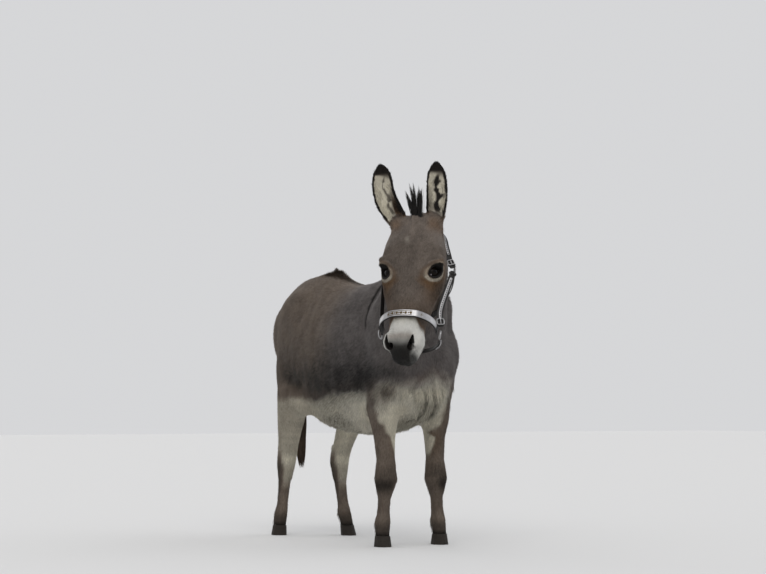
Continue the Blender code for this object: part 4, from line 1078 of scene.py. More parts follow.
def patches(spots, per, m):
    # each strand's patch of the skin's unwrap, at its root's place
    shape = np.zeros((per, 2))
    for j in range(m - 1):
        t = -0.0013 + 0.0026 * j / (m - 1)
        wide = 0.0015 * (1 - j / (m - 1))
        shape[j * 3:j * 3 + 3] = ((-wide, t), (0, t - 0.0002), (wide, t))
    shape[-1] = (0, 0.0015)
    return np.clip(spots[:, None] + shape[None], 0.0005, 0.9995).reshape(-1, 2)


cornerUv = np.zeros(len(mesh.loops) * 2)
mesh.uv_layers["OFBake"].data.foreach_get("uv", cornerUv)
cornerUv = cornerUv.reshape(-1, 3, 2)
lie = relaxed(lieOf(co, normals, weights), ends, 6)
corner = co[tris]
area = np.linalg.norm(np.cross(corner[:, 1] - corner[:, 0], corner[:, 2] - corner[:, 0]), axis=1) / 2


def rootsOn(density):
    # random roots on the skin, so many to the square metre at each of its points
    wanted = area * density[tris].mean(1)
    count = np.floor(wanted + chance.random(len(wanted))).astype(int)
    face = np.repeat(np.arange(len(tris)), count)
    chance.shuffle(face)
    mix = chance.dirichlet((1, 1, 1), len(face))

    def blended(values):
        return np.einsum("nk,nk...->n...", mix, values[tris[face]])

    spot = np.einsum("nk,nkj->nj", mix, cornerUv[face])
    return blended, spot, len(face)


coatLook = {
    # each row is for trunk, neck, head, muzzle, ear, front leg, hind leg, tail
    "density": (150000, 155000, 330000, 420000, 420000, 260000, 230000, 200000),
    "length": (0.0165, 0.0160, 0.0085, 0.0045, 0.0080, 0.0100, 0.0110, 0.0140),
    "width": (0.0019, 0.0019, 0.0012, 0.0008, 0.0011, 0.0014, 0.0015, 0.0018),
    "pieceSize": 64000, "flatness": 0.40,
}
quickShare = 1


def growCoat():
    bare = np.maximum(ramp(nostrilDark, 0.3, 0.8), ramp(lipDark, 0.5, 0.9))
    for name in sides:
        z, rho = inEye(co, name)[2:]
        near = (z > -0.01) & (np.linalg.norm(co - middleOf("eye_" + name), axis=1) < 0.05)
        bare = np.maximum(bare, near * ramp(rho, 1.75, 1.45))
    density = weights @ np.array(coatLook["density"]) * (1 - bare)
    blended, spot, total = rootsOn(density * quickShare)
    root, out, way = blended(co), unit(blended(normals)), blended(lie)
    region = blended(weights)
    length = region @ np.array(coatLook["length"]) * chance.uniform(0.65, 1.2, total)
    striped = ramp(np.abs(fromCross(root)), 0.030, 0.014) * (region[:, 0] + region[:, 1])
    length *= 1 - 0.40 * striped
    width = region @ np.array(coatLook["width"]) * chance.uniform(0.8, 1.25, total)
    depth = coatDepth(region, root)
    wander = np.stack([ripple(root, 0.03, 31 + k) for k in range(3)], 1) * 0.16
    way = way + wander + chance.normal(size=(total, 3)) * 0.10
    way = unit(way - out * (way * out).sum(1)[:, None])
    lift = depth * chance.uniform(0.45, 1.15, total)
    slant = np.minimum(lift / length, 0.75)
    tip = root + way * (length * np.sqrt(1 - slant**2))[:, None] + out * (length * slant)[:, None]
    paths = np.stack([root - out * 0.0007, tip], 1)
    widths = np.stack([width, width * 0], 1)
    strand, faces, per = locks(paths, widths, coatLook["flatness"], out)
    uv = patches(spot, per, 2)
    shades = np.clip(chance.normal(0, 0.38, total), -1, 1)
    seen = makeMarks(root + way * (length * 0.5)[:, None], out, region)
    seen["dark"] = np.maximum(seen["dark"], blended(np.maximum(nostrilDark, lipDark * 0.9)))
    own = {name: np.repeat(values, per) for name, values in seen.items()}
    own["shade"] = np.repeat(shades, per)
    own["tip"] = np.tile([0.0, 0.0, 0.0, 1.0], total)
    facing = unit(np.repeat(out, per, 0) * 0.60 + 0.55 * normalsOf(strand, faces))
    pieces = math.ceil(total / coatLook["pieceSize"])
    for k in range(pieces):
        mine = np.arange(k, total, pieces)
        verts = (mine[:, None] * per + np.arange(per)).ravel()
        kept = faces.reshape(total, -1, 3)[mine]
        kept = kept - (mine * per)[:, None, None] + (np.arange(len(mine)) * per)[:, None, None]
        shares = {name: values[verts] for name, values in own.items()}
        name = f"coat_layer_{k + 1}"
        piece = meshFrom(name, strand[verts], kept.reshape(-1, 3), uv[verts], shares, facing[verts])
        ridden(piece, "coat", material=hairMaterial)
    print("coat:", total, "tufts in", pieces, "pieces")


growCoat()

# ---- eyeballs, tear corners and lashes

# sizes in metres; the iris and the cornea end at angles from the look, in degrees
ballLook = {
    "cornea": 0.0003, "corneaAngle": 40, "pupil": (0.0080, 0.0046), "iris": 36, "behindSkin": 0.0003,
    "lashes": 74, "lashLength": 0.0125, "lashWidth": 0.00062,
    "tearCorner": (0.0052, 0.0030, 0.0026), "tearPlace": (0.0172, 0.0040, 0.0177),
}


def makeEyeMaterial():
    material, tree, shader = newMaterial(
        "wetEye", 0.10, Coat_Weight=0.08, Coat_Roughness=0.03, Specular_IOR_Level=0.05
    )
    fibres = maths(tree, "MULTIPLY", noise(tree, 900, 2), 0.8)
    brown = mixed(tree, fibres, (0.0040, 0.0026, 0.0018), (0.009, 0.006, 0.004))
    colour = mixed(tree, marked(tree, "iris"), (0.006, 0.005, 0.0045), brown)
    colour = mixed(tree, marked(tree, "pupil"), colour, (0.0012, 0.0012, 0.0018))
    tree.links.new(colour, shader.inputs["Base Color"])
    return material


def makeEyeball(side, material):
    centre, look, slope = eyeAxes(side)[:3]
    radius = carriage["eyeRadius"] - ballLook["behindSkin"]
    ball = roundBall("eyeball_" + side, 72, 48, radius)
    flat = placesOf(ball.data)
    angle = np.degrees(np.arccos(np.clip(flat[:, 2] / radius, -1, 1)))
    setMark(ball.data, "iris", ramp(angle, ballLook["iris"] + 3, ballLook["iris"] - 1))
    wide, tall = ballLook["pupil"]
    across = (flat[:, 0] / wide) ** 2 + (flat[:, 1] / tall) ** 2
    setMark(ball.data, "pupil", ramp(across, 1.2, 0.8) * (flat[:, 2] > 0))
    flat = flat * (1 + ballLook["cornea"] / radius * ramp(angle, ballLook["corneaAngle"], 18))[:, None]
    turned = flat[:, :1] * slope + flat[:, 1:2] * np.cross(look, slope) + flat[:, 2:] * look
    setPlaces(ball.data, centre + turned)
    ball.data.shade_smooth()
    ridden(ball, "eye", "eye_" + side, material=material)


def makeTearCorner(side, material):
    # the small wet fold in the eye's inner corner
    centre, look, slope, rise = eyeAxes(side)
    fold = roundBall("tear_corner_" + side, 28, 18, 1)
    flat = placesOf(fold.data) * np.array(ballLook["tearCorner"])
    flat[:, 1] += 0.0012 * np.sin(flat[:, 0] * 420)
    aside, down, far = ballLook["tearPlace"]
    place = centre - slope * aside - rise * down + look * math.sqrt(carriage["eyeRadius"] ** 2 - far**2)
    setPlaces(fold.data, place + flat[:, :1] * slope + flat[:, 1:2] * rise + flat[:, 2:] * look)
    if side == "right":
        edited(fold, (bpy.ops.mesh.normals_make_consistent, {"inside": False}))
    fold.data.shade_smooth()
    ridden(fold, "eye", material=material)


def hairPiece(name, paths, widths, rises, marks, slotName, *replaced, flatness=0.45, spots=None):
    # one piece of bent tapered strands, with a shade of its own for each strand
    count, m = paths.shape[:2]
    strand, faces, per = locks(paths, widths, flatness, rises)
    own = {key: np.repeat(np.broadcast_to(values, (count,)), per) for key, values in marks.items()}
    for key in ("pale", "dark", "rust", "cool", "tone"):
        own.setdefault(key, np.zeros(count * per))
    own["shade"] = np.repeat(np.clip(chance.normal(0, 0.45, count), -1, 1), per)
    own["tip"] = np.tile(np.append(np.repeat(np.linspace(0, 0.8, m - 1), 3), 1.0), count)
    if "tipRust" in own:
        own["rust"] = np.clip(own["rust"] + own["tipRust"] * own["tip"], 0, 1)
        own["dark"] = np.clip(own["dark"] - own["tipRust"] * own["tip"] * 0.55, 0, 1)
        del own["tipRust"]
    uv = patches(spots, per, m) if spots is not None else None
    ridden(meshFrom(name, strand, faces, uv, own), slotName, *replaced, material=hairMaterial)


def bent(root, start, length, bend, steps):
    # paths that leave their roots along start and are carried away by bend
    return np.stack([
        root + start * (length * t)[:, None] + bend * (length * t * t)[:, None] for t in steps
    ], 1)


def taper(shape, width, spread, count):
    return np.array(shape)[None] * width * chance.uniform(*spread, (count, 1))


def makeLashes(side):
    centre, look, slope, rise = eyeAxes(side)
    count = ballLook["lashes"]
    x = np.linspace(-0.70, 0.93, count) * eyeShape["halfLength"] + chance.normal(size=count) * 0.0003
    y = eyeShape["upperLid"] * (1 - (x / eyeShape["halfLength"]) ** 2) ** (1 / eyeShape["curve"]) - 0.0002
    reach = carriage["eyeRadius"] + eyeShape["lidThickness"] * 0.6
    flatX, flatY = x + eyeShape["shift"][0], y + eyeShape["shift"][1]
    lift = np.sqrt(np.maximum(reach**2 - flatX**2 - flatY**2, 0.0001))
    root = centre + slope * flatX[:, None] + rise * flatY[:, None] + look * lift[:, None]
    fan = (x / eyeShape["halfLength"])[:, None]
    length = ballLook["lashLength"] * chance.uniform(0.7, 1.15, count) * (1 - 0.35 * np.abs(fan[:, 0]) ** 2)
    start = look * 0.95 + rise * 0.10 + slope * fan * 0.55 - upright * 0.35
    start = unit(start + chance.normal(size=(count, 3)) * 0.07)
    paths = bent(root, start, length, rise * 0.30 + upright * 0.25, np.linspace(0, 1, 6))
    widths = taper(np.linspace(ballLook["lashWidth"], 0.0001, 6), 1, (0.8, 1.2), count)
    rises = np.tile(rise, (count, 1))
    hairPiece("lashes_" + side, paths, widths, rises, {"dark": 1.0}, "dark_hair", flatness=0.5)


def clouded(name, roughness, scale, first, second, **sockets):
    # a plain material whose colour wanders between two
    material, tree, shader = newMaterial(name, roughness, **sockets)
    tree.links.new(mixed(tree, noise(tree, scale), first, second), shader.inputs["Base Color"])
    return material


eyeMaterial = makeEyeMaterial()
tearMaterial = clouded(
    "tearCorner", 0.12, 500, (0.06, 0.05, 0.055), (0.17, 0.15, 0.165), Coat_Weight=1.0, Coat_Roughness=0.05
)
for side in sides:
    makeEyeball(side, eyeMaterial)
    makeTearCorner(side, tearMaterial)
    makeLashes(side)
print("eyes made")

# ---- long hair: mane, forelock, tail, croup tuft, fringes and whiskers


def standing(name, density, lean, lengthShare, width, marks, bow=0.12):
    # upright strands that fill the solid of that name, rooted in the skin below it
    tree = treeOf([name])[0]
    reach = 0.16
    low, high = (np.array(corner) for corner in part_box(name))
    near = ((co > low - 0.02) & (co < high + 0.02)).all(1)
    way = unit(normals + np.asarray(lean))
    tall = np.zeros(len(co))
    for index in np.nonzero(near)[0]:
        hit = tree.ray_cast((co[index] + way[index] * reach).tolist(), (-way[index]).tolist(), reach)
        if hit[0] is not None:
            tall[index] = reach - hit[3]
    blended, spot, total = rootsOn(np.where(tall > 0.007, density * quickShare, 0))
    root, out, length = blended(co), unit(blended(normals)), blended(tall)
    lock = ripple(root, 0.016, 51) * 0.5 + ripple(root, 0.006, 52) * 0.3
    uneven = np.clip(0.62 + 0.5 * lock + 0.12 * chance.normal(size=total), 0, 1)
    length = length * (1 - lengthShare + lengthShare * uneven)
    side = np.stack([ripple(root, 0.018, 53 + k) for k in range(3)], 1)
    start = unit(blended(way) + side * 0.20 + chance.normal(size=(total, 3)) * 0.07)
    bend = (side - out * (side * out).sum(1)[:, None]) * bow + np.asarray(lean) * 0.10
    paths = bent(root - out * 0.001, start, length, bend, np.linspace(0, 1, 6))
    widths = taper((0.8, 1.0, 0.9, 0.7, 0.45, 0.1), width, (0.7, 1.3), total)
    rises = np.tile(headLeft, (total, 1))
    hairPiece(name + "_hair", paths, widths, rises, marks, "dark_hair", name, spots=spot)
    return total


def makeCroupHair():
    # the brown hair that stands up round the tuft on the croup, higher towards its middle
    side, forward, height = bodyPlace(co)
    hill = hump(side, 0, 0.020) * hump(forward, -0.158, 0.060) * ramp(height, 0.78, 0.82)
    blended, spot, total = rootsOn(np.where(hill > 0.02, 380000 * quickShare * np.sqrt(hill), 0))
    root, out = blended(co), unit(blended(normals))
    length = (0.004 + 0.024 * blended(hill)) * chance.uniform(0.7, 1.1, total)
    way = unit(out + np.array([0, -0.25, 0]) + chance.normal(size=(total, 3)) * 0.16)
    paths = bent(root, way, length, np.array([0, -0.35, -0.1]), np.linspace(0, 1, 5))
    widths = taper((0.8, 1.0, 0.8, 0.5, 0.1), 0.0015, (0.7, 1.3), total)
    rises = np.tile(headLeft, (total, 1))
    hairPiece("croup_hair", paths, widths, rises, {"dark": 0.50, "rust": 0.25}, "dark_hair", spots=spot)


def makeForelock():
    # spikes fanned between the ears: how far each tip stands aside and up from the root, in metres
    spikes = (
        (-0.025, 0.098), (-0.010, 0.094), (0.005, 0.086), (-0.035, 0.071), (-0.038, 0.062), (-0.029, 0.028),
        (0.016, 0.080), (-0.018, 0.084), (0.010, 0.072), (-0.024, 0.050), (0.000, 0.068), (0.019, 0.058),
        (-0.012, 0.044),
    )
    tree = treeOf(fleshNodes)[0]
    perSpike = 34
    base = onHead(0.012, 0.010, -0.014) + upright * 0.03
    base = np.array(tree.ray_cast(base, -upright)[0]) - upright * 0.006
    paths, widths = [], []
    for aside, high in spikes:
        deep = chance.uniform(-0.008, 0.008)
        tip = base + headLeft * aside + upright * (high + 0.020) + facing * (0.16 * high + deep)
        middle = base + headLeft * (aside * 0.34 + 0.003) + facing * deep * 0.5
        for _ in range(perSpike):
            spread = chance.normal(size=3) * np.array([0.0026, 0.0032, 0.0015])
            root = middle + headLeft * spread[0] + facing * spread[1]
            short = abs(chance.normal()) * 0.16
            end = tip * (1 - short) + middle * short + headLeft * spread[0] * 0.25 + facing * spread[1] * 0.5
            arch = headLeft * (aside * -0.20) + upright * (0.10 * high)
            t = np.linspace(0, 1, 7)[:, None]
            flare = headLeft * spread[0] * 0.5 * np.sin(t * 3.1)
            paths.append(root * (1 - t) + end * t + arch * (t * (1 - t)) * 1.6 + flare)
            widths.append(np.array([1.0, 1.0, 0.95, 0.8, 0.6, 0.4, 0.1]) * 0.0013 * chance.uniform(0.7, 1.3))
    paths, widths = np.array(paths), np.array(widths)
    rises = np.tile(facing, (len(paths), 1))
    hairPiece("forelock_hair", paths, widths, rises, {"dark": 1.0}, "dark_hair", "forelock")


def makeSwitch():
    # the tail's long hair hangs from the dock along the middle of its solid
    mesh = nodes["tail_switch"].data
    bounds = placesOf(mesh)
    top, bottom = bounds[:, 2].max(), bounds[:, 2].min()
    pairs = bounds[edgesOf(mesh)]
    cloud = np.concatenate([pairs[:, 0] * (1 - t) + pairs[:, 1] * t for t in np.linspace(0, 1, 25)])
    steps = np.linspace(top - 0.004, bottom + 0.004, 16)
    slabs = [cloud[np.abs(cloud[:, 2] - z) < 0.012] for z in steps]
    middles = np.array([(slab.min(0) + slab.max(0)) / 2 for slab in slabs])
    halves = np.array([(slab.max(0) - slab.min(0)) / 2 for slab in slabs])
    count = 1500
    angle, share = chance.uniform(0, 2 * math.pi, count), np.sqrt(chance.uniform(0, 1, count))
    start = top + 0.035 - chance.uniform(0, 0.10, count) ** 1.3
    end = np.minimum(bottom + np.abs(chance.normal(size=count)) * 0.05, start - 0.08)
    paths = []
    for t in np.linspace(0, 1, 9):
        height = start * (1 - t) + end * t
        x, y = (np.interp(-height, -steps, middles[:, k]) for k in range(2))
        wide, deep = (np.interp(-height, -steps, halves[:, k]) for k in range(2))
        pinch = 0.60 + 0.36 * math.sin(math.pi * min(t, 0.75))
        wave = 0.0035 * np.sin(height * 34 + angle * 3)
        x = x + np.cos(angle) * share * wide * pinch + wave * 0.5
        y = y + np.sin(angle) * share * deep * pinch + wave * 0.5
        paths.append(np.stack([x, y, height], 1))
    paths = np.stack(paths, 1)
    widths = taper((0.7, 1, 1, 1, 0.95, 0.85, 0.7, 0.45, 0.1), 0.0021, (0.6, 1.3), count)
    rises = np.stack([np.cos(angle), np.sin(angle), angle * 0], 1)
    marks = {"dark": 0.95, "tipRust": 0.85}
    hairPiece("tail_switch_hair", paths, widths, rises, marks, "dark_hair", "tail_switch")


def makeFringes():
    # longer bent hairs where the coat breaks the outline
    side, forward, height = bodyPlace(co)
    along, across, up = inHead(co)
    body = weights[:, 0] + weights[:, 1]
    density, length = np.zeros(len(co)), np.full(len(co), 0.012)

    def add(mask, perSquare, size):
        nonlocal density, length
        length = np.where(mask * perSquare > density, size, length)
        density = np.maximum(density, mask * perSquare)

    add(body * ramp(normals[:, 2], -0.35, -0.8) * ramp(height, 0.46, 0.42), 30000, 0.024)
    add(body * hump(forward, -0.15, 0.075) * hump(side, 0, 0.022) * ramp(height, 0.80, 0.84), 200000, 0.024)
    add(body * ramp(forward, 0.27, 0.32) * ramp(height, 0.54, 0.48), 36000, 0.022)
    add(weights[:, 2] * ramp(up, -0.11, -0.15) * ramp(along, 0.34, 0.28), 42000, 0.017)
    add(weights[:, 3] * ramp(up, -0.10, -0.12), 30000, 0.009)
    ears = {name: inEar(co, normals, name)[:4] for name in sides}
    for name, (share, place, turn, inner) in ears.items():
        mine = np.clip(weights[:, 4] * 1.5, 0, 1) * ((across > 0) == (name == "left"))
        add(mine * inner * ramp(share, 0.42, 0.15) * ramp(share, -0.1, 0.0), 120000, 0.015)
        outer = ramp(turn, 0.7, 0.95) * ramp(place * sides[name], 0.0, 0.5)
        add(mine * outer * ramp(share, 0.55, 0.25), 150000, 0.014)
    add(weights[:, 2] * ramp(along, 0.05, 0.02) * ramp(np.abs(across), 0.03, 0.05), 70000, 0.016)
    for leg in legParts:
        ahead = aroundLeg(co, leg)[1]
        mine = ofLeg(leg, weights, side)
        add(mine * ramp(height, 0.042, 0.036), 160000, 0.013)
        add(mine * ramp(ahead, -0.2, -0.7) * hump(height, 0.078, 0.022), 90000, 0.020)
        behind = ramp(ahead, -0.4, -0.8)
        add(mine * behind * ramp(height, 0.09, 0.11) * ramp(height, 0.26, 0.22), 45000, 0.014)
    for name, (share, _, turn, inner) in ears.items():
        ear = weights[:, 4] * ((across > 0) == (name == "left"))
        cup = inner * ramp(turn, 0.3, 0.6)
        add(ear * cup * ramp(share, 0.66, 0.50) * ramp(share, -0.02, 0.06), 190000, 0.019)
        add(ear * ramp(turn, 0.82, 0.95) * ramp(share, 0.0, 0.1), 240000, 0.009)
        add(ear * (1 - inner) * ramp(share, 0.22, 0.05), 120000, 0.014)
    blended, spot, total = rootsOn(density * quickShare)
    root, out, way = blended(co), unit(blended(normals)), blended(lie)
    size = blended(length) * chance.uniform(0.6, 1.15, total)
    clump = np.stack([ripple(root, 0.02, 61 + k) for k in range(3)], 1) * 0.35
    way = way + clump + chance.normal(size=(total, 3)) * 0.12
    way = unit(way - out * (way * out).sum(1)[:, None])
    lift = chance.uniform(0.25, 0.55, total)
    paths = np.stack([
        root - out * 0.0008 + way * (size * t)[:, None] + out * (size * lift * (t - 0.45 * t * t))[:, None]
        - upright * (size * 0.12 * t * t)[:, None]
        for t in (0, 0.4, 0.75, 1)
    ], 1)
    widths = taper((0.9, 1.0, 0.7, 0.1), 0.0008 + 0.030 * size[:, None], (0.8, 1.2), total)
    seen = makeMarks(root + way * (size * 0.4)[:, None], out, blended(weights))
    half = math.ceil(total / 2)
    for k in range(2):
        part = slice(k * half, (k + 1) * half)
        marks = {key: values[part] for key, values in seen.items()}
        hairPiece(f"long_coat_{k + 1}", paths[part], widths[part], out[part], marks, "coat", spots=spot[part])
    print("fringes:", total, "hairs")


def makeWhiskers():
    along, _, up = inHead(co)
    density = ramp(along, 0.385, 0.41) * ramp(up, -0.05, -0.09) * 9000 + ramp(along, 0.40, 0.43) * 2500
    blended, spot, total = rootsOn(weights[:, 3] * density)
    root, out = blended(co), unit(blended(normals))
    size = chance.uniform(0.010, 0.027, total)
    start = unit(out * 0.8 + headAxis * 0.35 + chance.normal(size=(total, 3)) * 0.22)
    paths = bent(root - out * 0.001, start, size, upright * -0.22, np.linspace(0, 1, 5))
    widths = taper(np.linspace(0.00048, 0.0001, 5), 1, (0.8, 1.2), total)
    hairPiece("whiskers", paths, widths, out, {"dark": 0.75}, "dark_hair", flatness=0.5, spots=spot)


maneMarks, tuftMarks = {"dark": 0.93, "tipRust": 0.18}, {"dark": 0.70, "rust": 0.2}
print("mane:", standing("mane", 150000, facing * 0.10, 0.45, 0.0019, maneMarks))
print("croup tuft:", standing("croup_tuft", 900000, np.array([0, -0.8, 0.3]), 0.14, 0.0016, tuftMarks, 0.06))
makeCroupHair()
makeForelock()
makeSwitch()
makeFringes()
makeWhiskers()

# ---- hooves

hoofLook = {"voxel": 0.0016, "ring": 0.00030, "step": 0.0034, "sole": 0.0025}


def makeHoofMaterial():
    material, tree, shader = newMaterial("hoofHorn", 0.6, Specular_IOR_Level=0.12)
    streaks = noise(tree, 240, 4, (1, 1, 0.10))
    bands = noise(tree, 130, 2, (0.12, 0.12, 1))
    colour = mixed(tree, streaks, (0.008, 0.007, 0.006), (0.032, 0.027, 0.023))
    colour = mixed(tree, maths(tree, "MULTIPLY", bands, 0.5), colour, (0.045, 0.037, 0.030))
    tree.links.new(colour, shader.inputs["Base Color"])
    bumped(tree, shader, noise(tree, 420, 4, (1, 1, 0.12)), 0.0006, 0.7)
    return material


def makeHoof(leg, material):
    hoof = copyOf([leg + "_hoof"], leg + "_hoof_horn")
    applied(hoof, "REMESH", mode="VOXEL", voxel_size=hoofLook["voxel"])
    points = placesOf(hoof.data)
    low = points[:, 2].min()
    points = relaxed(points, edgesOf(hoof.data), 5)
    wall = normalsOf(points, trianglesOf(hoof.data))
    upwards = ramp(np.abs(wall[:, 2]), 0.75, 0.4)
    ring = np.sin(points[:, 2] * 2 * math.pi / hoofLook["step"] + 0.6 * ripple(points, 0.05, 71))
    points += wall * (ring * hoofLook["ring"] * upwards - 0.0004)[:, None]
    points[:, 2] = np.where(points[:, 2] < low + hoofLook["sole"], low + 0.00005, points[:, 2])
    setPlaces(hoof.data, points)
    hoof.data.shade_smooth()
    ridden(hoof, "hoof", leg + "_hoof", material=material)


hornMaterial = makeHoofMaterial()
for leg in legParts:
    makeHoof(leg, hornMaterial)
print("hair and hooves made")

# ---- the halter: straps, plates, ornament, rings and buckles

harness = {
    "strap": 0.019, "noseband": 0.024, "thick": 0.003, "plate": 0.0012, "gap": 0.0006, "wire": 0.0022,
    "rings": {"lower": {"left": (0.352, 0.088, -0.104), "right": (0.352, -0.087, -0.098)},
              "upper": {"left": (0.128, 0.1145, -0.108), "right": (0.120, -0.106, -0.122)}},
    "stitch": 0.0042, "stitchSize": (0.00135, 0.00028, 0.00026), "stitchInset": 0.0022,
}
plateLow = harness["thick"] + harness["gap"] * 0.5
plateTop = plateLow + harness["plate"] + 0.0002
coatTree = treeOf(fleshNodes)[0]


def spread(points, count):
    points = np.asarray(points, float)
    far = lengthsAlong(points)
    steps = np.linspace(0, far[-1], count)
    return np.stack([np.interp(steps, far, points[:, k]) for k in range(3)], 1)


def eased(path, rounds):
    path = path.copy()
    for _ in range(rounds):
        path[1:-1] = path[1:-1] * 0.5 + (path[:-2] + path[2:]) * 0.25
    return path


def clearOf(path, clearance, width):
    # lifts a strap's path off the coat over its whole width, and gives the way it faces
    for _ in range(10):
        facings = unit(eased(np.array([np.array(coatTree.find_nearest(p)[1]) for p in path.tolist()]), 6))
        along = unit(np.gradient(path, axis=0))
        facings = unit(facings - along * (facings * along).sum(1)[:, None])
        across = np.cross(along, facings)
        push = np.zeros(len(path))
        for shift in (-0.5, -0.25, 0.0, 0.25, 0.5):
            edge = path + across * shift * width
            for index, point in enumerate(edge.tolist()):
                place, out = coatTree.find_nearest(point)[:2]
                push[index] = max(push[index], clearance - (np.array(point) - place) @ np.array(out))
        path = path + facings * push[:, None]
    return path, facings


def fine(path, facings, step=0.0022):
    # the same line with many small steps
    count = max(8, int(lengthsAlong(path)[-1] / step))
    dense = eased(spread(path, count), 12)
    share = np.linspace(0, len(path) - 1, count)
    turned = np.stack([np.interp(share, np.arange(len(path)), facings[:, k]) for k in range(3)], 1)
    return dense, unit(eased(turned, 12))


def strapSection(width, low, thick, bevel=0.0009, crown=0.00035):
    w = width / 2
    high = low + thick
    return np.array([
        (-w, low + bevel), (-w + bevel, low), (w - bevel, low), (w, low + bevel), (w, high - bevel),
        (w - bevel * 0.4, high - bevel * 0.3), (w - bevel * 1.3, high), (0, high + crown),
        (bevel * 1.3 - w, high), (bevel * 0.4 - w, high - bevel * 0.3), (-w, high - bevel),
    ])


def wireSection(wide, high):
    turn = circle(8)
    return np.stack([wide * np.cos(turn), high * np.sin(turn)], 1)


def plateSection(width, low, thick):
    w, high = width / 2, low + thick
    return np.array([
        (-w, low), (w, low), (w, high + 0.0003), (w - 0.0003, high + 0.0006), (w - 0.0009, high + 0.0006),
        (w - 0.0014, high), (0, high + 0.0003), (0.0014 - w, high), (0.0009 - w, high + 0.0006),
        (0.0003 - w, high + 0.0006), (-w, high + 0.0003),
    ])


def swept(name, path, facings, section, rounding=0.45):
    # the section carried along the path, with rounded ends
    along = unit(np.gradient(path, axis=0))
    out = unit(facings - along * (facings * along).sum(1)[:, None])
    across = np.cross(along, out)
    count, size = len(path), len(section)
    far = lengthsAlong(path)
    half = np.abs(section[:, 0]).max() * rounding
    toEnd = np.clip(np.minimum(far, far[-1] - far) / max(half, 1e-6), 0, 1)
    pull = 1 - (1 - np.sqrt(1 - (1 - toEnd) ** 2)) * rounding
    wide, high = section[None, :, :1] * pull[:, None, None], section[None, :, 1:]
    co = (path[:, None] + across[:, None] * wide + out[:, None] * high).reshape(-1, 3)
    tris = tubeFaces(count, size)
    for base, flip in ((0, 1), ((count - 1) * size, 0)):
        middle = len(co)
        co = np.vstack([co, co[base:base + size].mean(0)])
        for k in range(size):
            a, b = base + k, base + (k + 1) % size
            tris.append((middle, b, a) if flip else (middle, a, b))
    obj = meshFrom(name, co, outwardTurned(co, np.array(tris), co.mean(0)))
    makeActive(obj)
    bpy.ops.object.shade_smooth_by_angle(angle=math.radians(38))
    return obj, (path, out, along, across)


def stitchSeed():
    # a small rough ball, copied for stitches, rivets and dots
    seed = roundBall("seed", 6, 4, 1)
    shape = placesOf(seed.data), trianglesOf(seed.data)
    bpy.data.objects.remove(seed)
    return shape


def strewn(name, seed, places, axes, sizes):
    # copies of one small shape, each at its place, turned to its axes
    shape, faces = seed
    sizes = np.broadcast_to(np.asarray(sizes, float), (len(places), 3))
    co = places[:, None] + np.einsum("vk,nk,nkj->nvj", shape, sizes, axes)
    tris = faces[None] + (np.arange(len(places)) * len(shape))[:, None, None]
    return meshFrom(name, co.reshape(-1, 3), tris.reshape(-1, 3))


def alongLine(line, step, first=0.02, last=0.98):
    path, out, along, across = line
    far = lengthsAlong(path)
    steps = np.arange(far[-1] * first, far[-1] * last, step)
    return [
        np.stack([np.interp(steps, far, part[:, k]) for k in range(3)], 1)
        for part in (path, out, along, across)
    ]


def makeLeather():
    material, tree, shader = newMaterial(
        "blackLeather", 0.42, Coat_Weight=0.04, Coat_Roughness=0.35, Specular_IOR_Level=0.22
    )
    wear = maths(tree, "MULTIPLY", noise(tree, 60, 3), 0.9)
    colour = mixed(tree, wear, (0.007, 0.0065, 0.0065), (0.018, 0.016, 0.015))
    tree.links.new(colour, shader.inputs["Base Color"])
    tree.links.new(maths(tree, "ADD", maths(tree, "MULTIPLY", wear, 0.3), 0.28), shader.inputs["Roughness"])
    bumped(tree, shader, noise(tree, 900, 4), 0.0004, 0.55)
    return material


def makeMetal(name, bright, dull, rough):
    material, tree, shader = newMaterial(name, rough, Metallic=1.0)
    worn = noise(tree, 120, 4)
    tree.links.new(mixed(tree, worn, bright, dull), shader.inputs["Base Color"])
    spreadOut = maths(tree, "ADD", maths(tree, "MULTIPLY", worn, 0.18), rough - 0.08)
    tree.links.new(spreadOut, shader.inputs["Roughness"])
    bumped(tree, shader, noise(tree, 1400, 2, (1, 0.2, 1)), 0.00012, 0.5)
    return material


leather = makeLeather()
silver = makeMetal("wornSilver", (0.50, 0.49, 0.49), (0.27, 0.27, 0.28), 0.36)
blackened = makeMetal("blackenedMetal", (0.030, 0.028, 0.026), (0.012, 0.011, 0.010), 0.45)
gold = makeMetal("antiqueGold", (0.13, 0.082, 0.030), (0.05, 0.034, 0.015), 0.45)
thread = clouded("waxedThread", 0.6, 700, (0.035, 0.032, 0.030), (0.09, 0.085, 0.08))
seed = stitchSeed()
stitchSpots, rivetSpots, darkSpots = [], [], []


def strap(name, path, facings, width):
    dense, turned = fine(path, facings)
    obj, line = swept(name + "_strap", dense, turned, strapSection(width, 0.0002, harness["thick"] - 0.0004))
    ridden(obj, "leather", name, material=leather)
    place, out, along, across = alongLine(line, harness["stitch"])
    for edge in (-1, 1):
        aside = edge * (width / 2 - harness["stitchInset"])
        spot = place + across * aside + out * (harness["thick"] - 0.0001)
        stitchSpots.append((spot, np.stack([along, across, out], 1)))
    return line


def plate(name, line, width, first, last):
    path, out = line[:2]
    part = slice(int(first * len(path)), int(last * len(path)))
    section = plateSection(width, plateLow, harness["plate"])
    obj, plateLine = swept(name + "_metal", path[part], out[part], section, 0.9)
    ridden(obj, "metal", name, material=silver)
    return plateLine


def onPlate(line, share, side=0.0):
    place, out, along, across = (part[int(share * (len(part) - 1))] for part in line)
    return place + across * side + out * plateTop, out, along, across


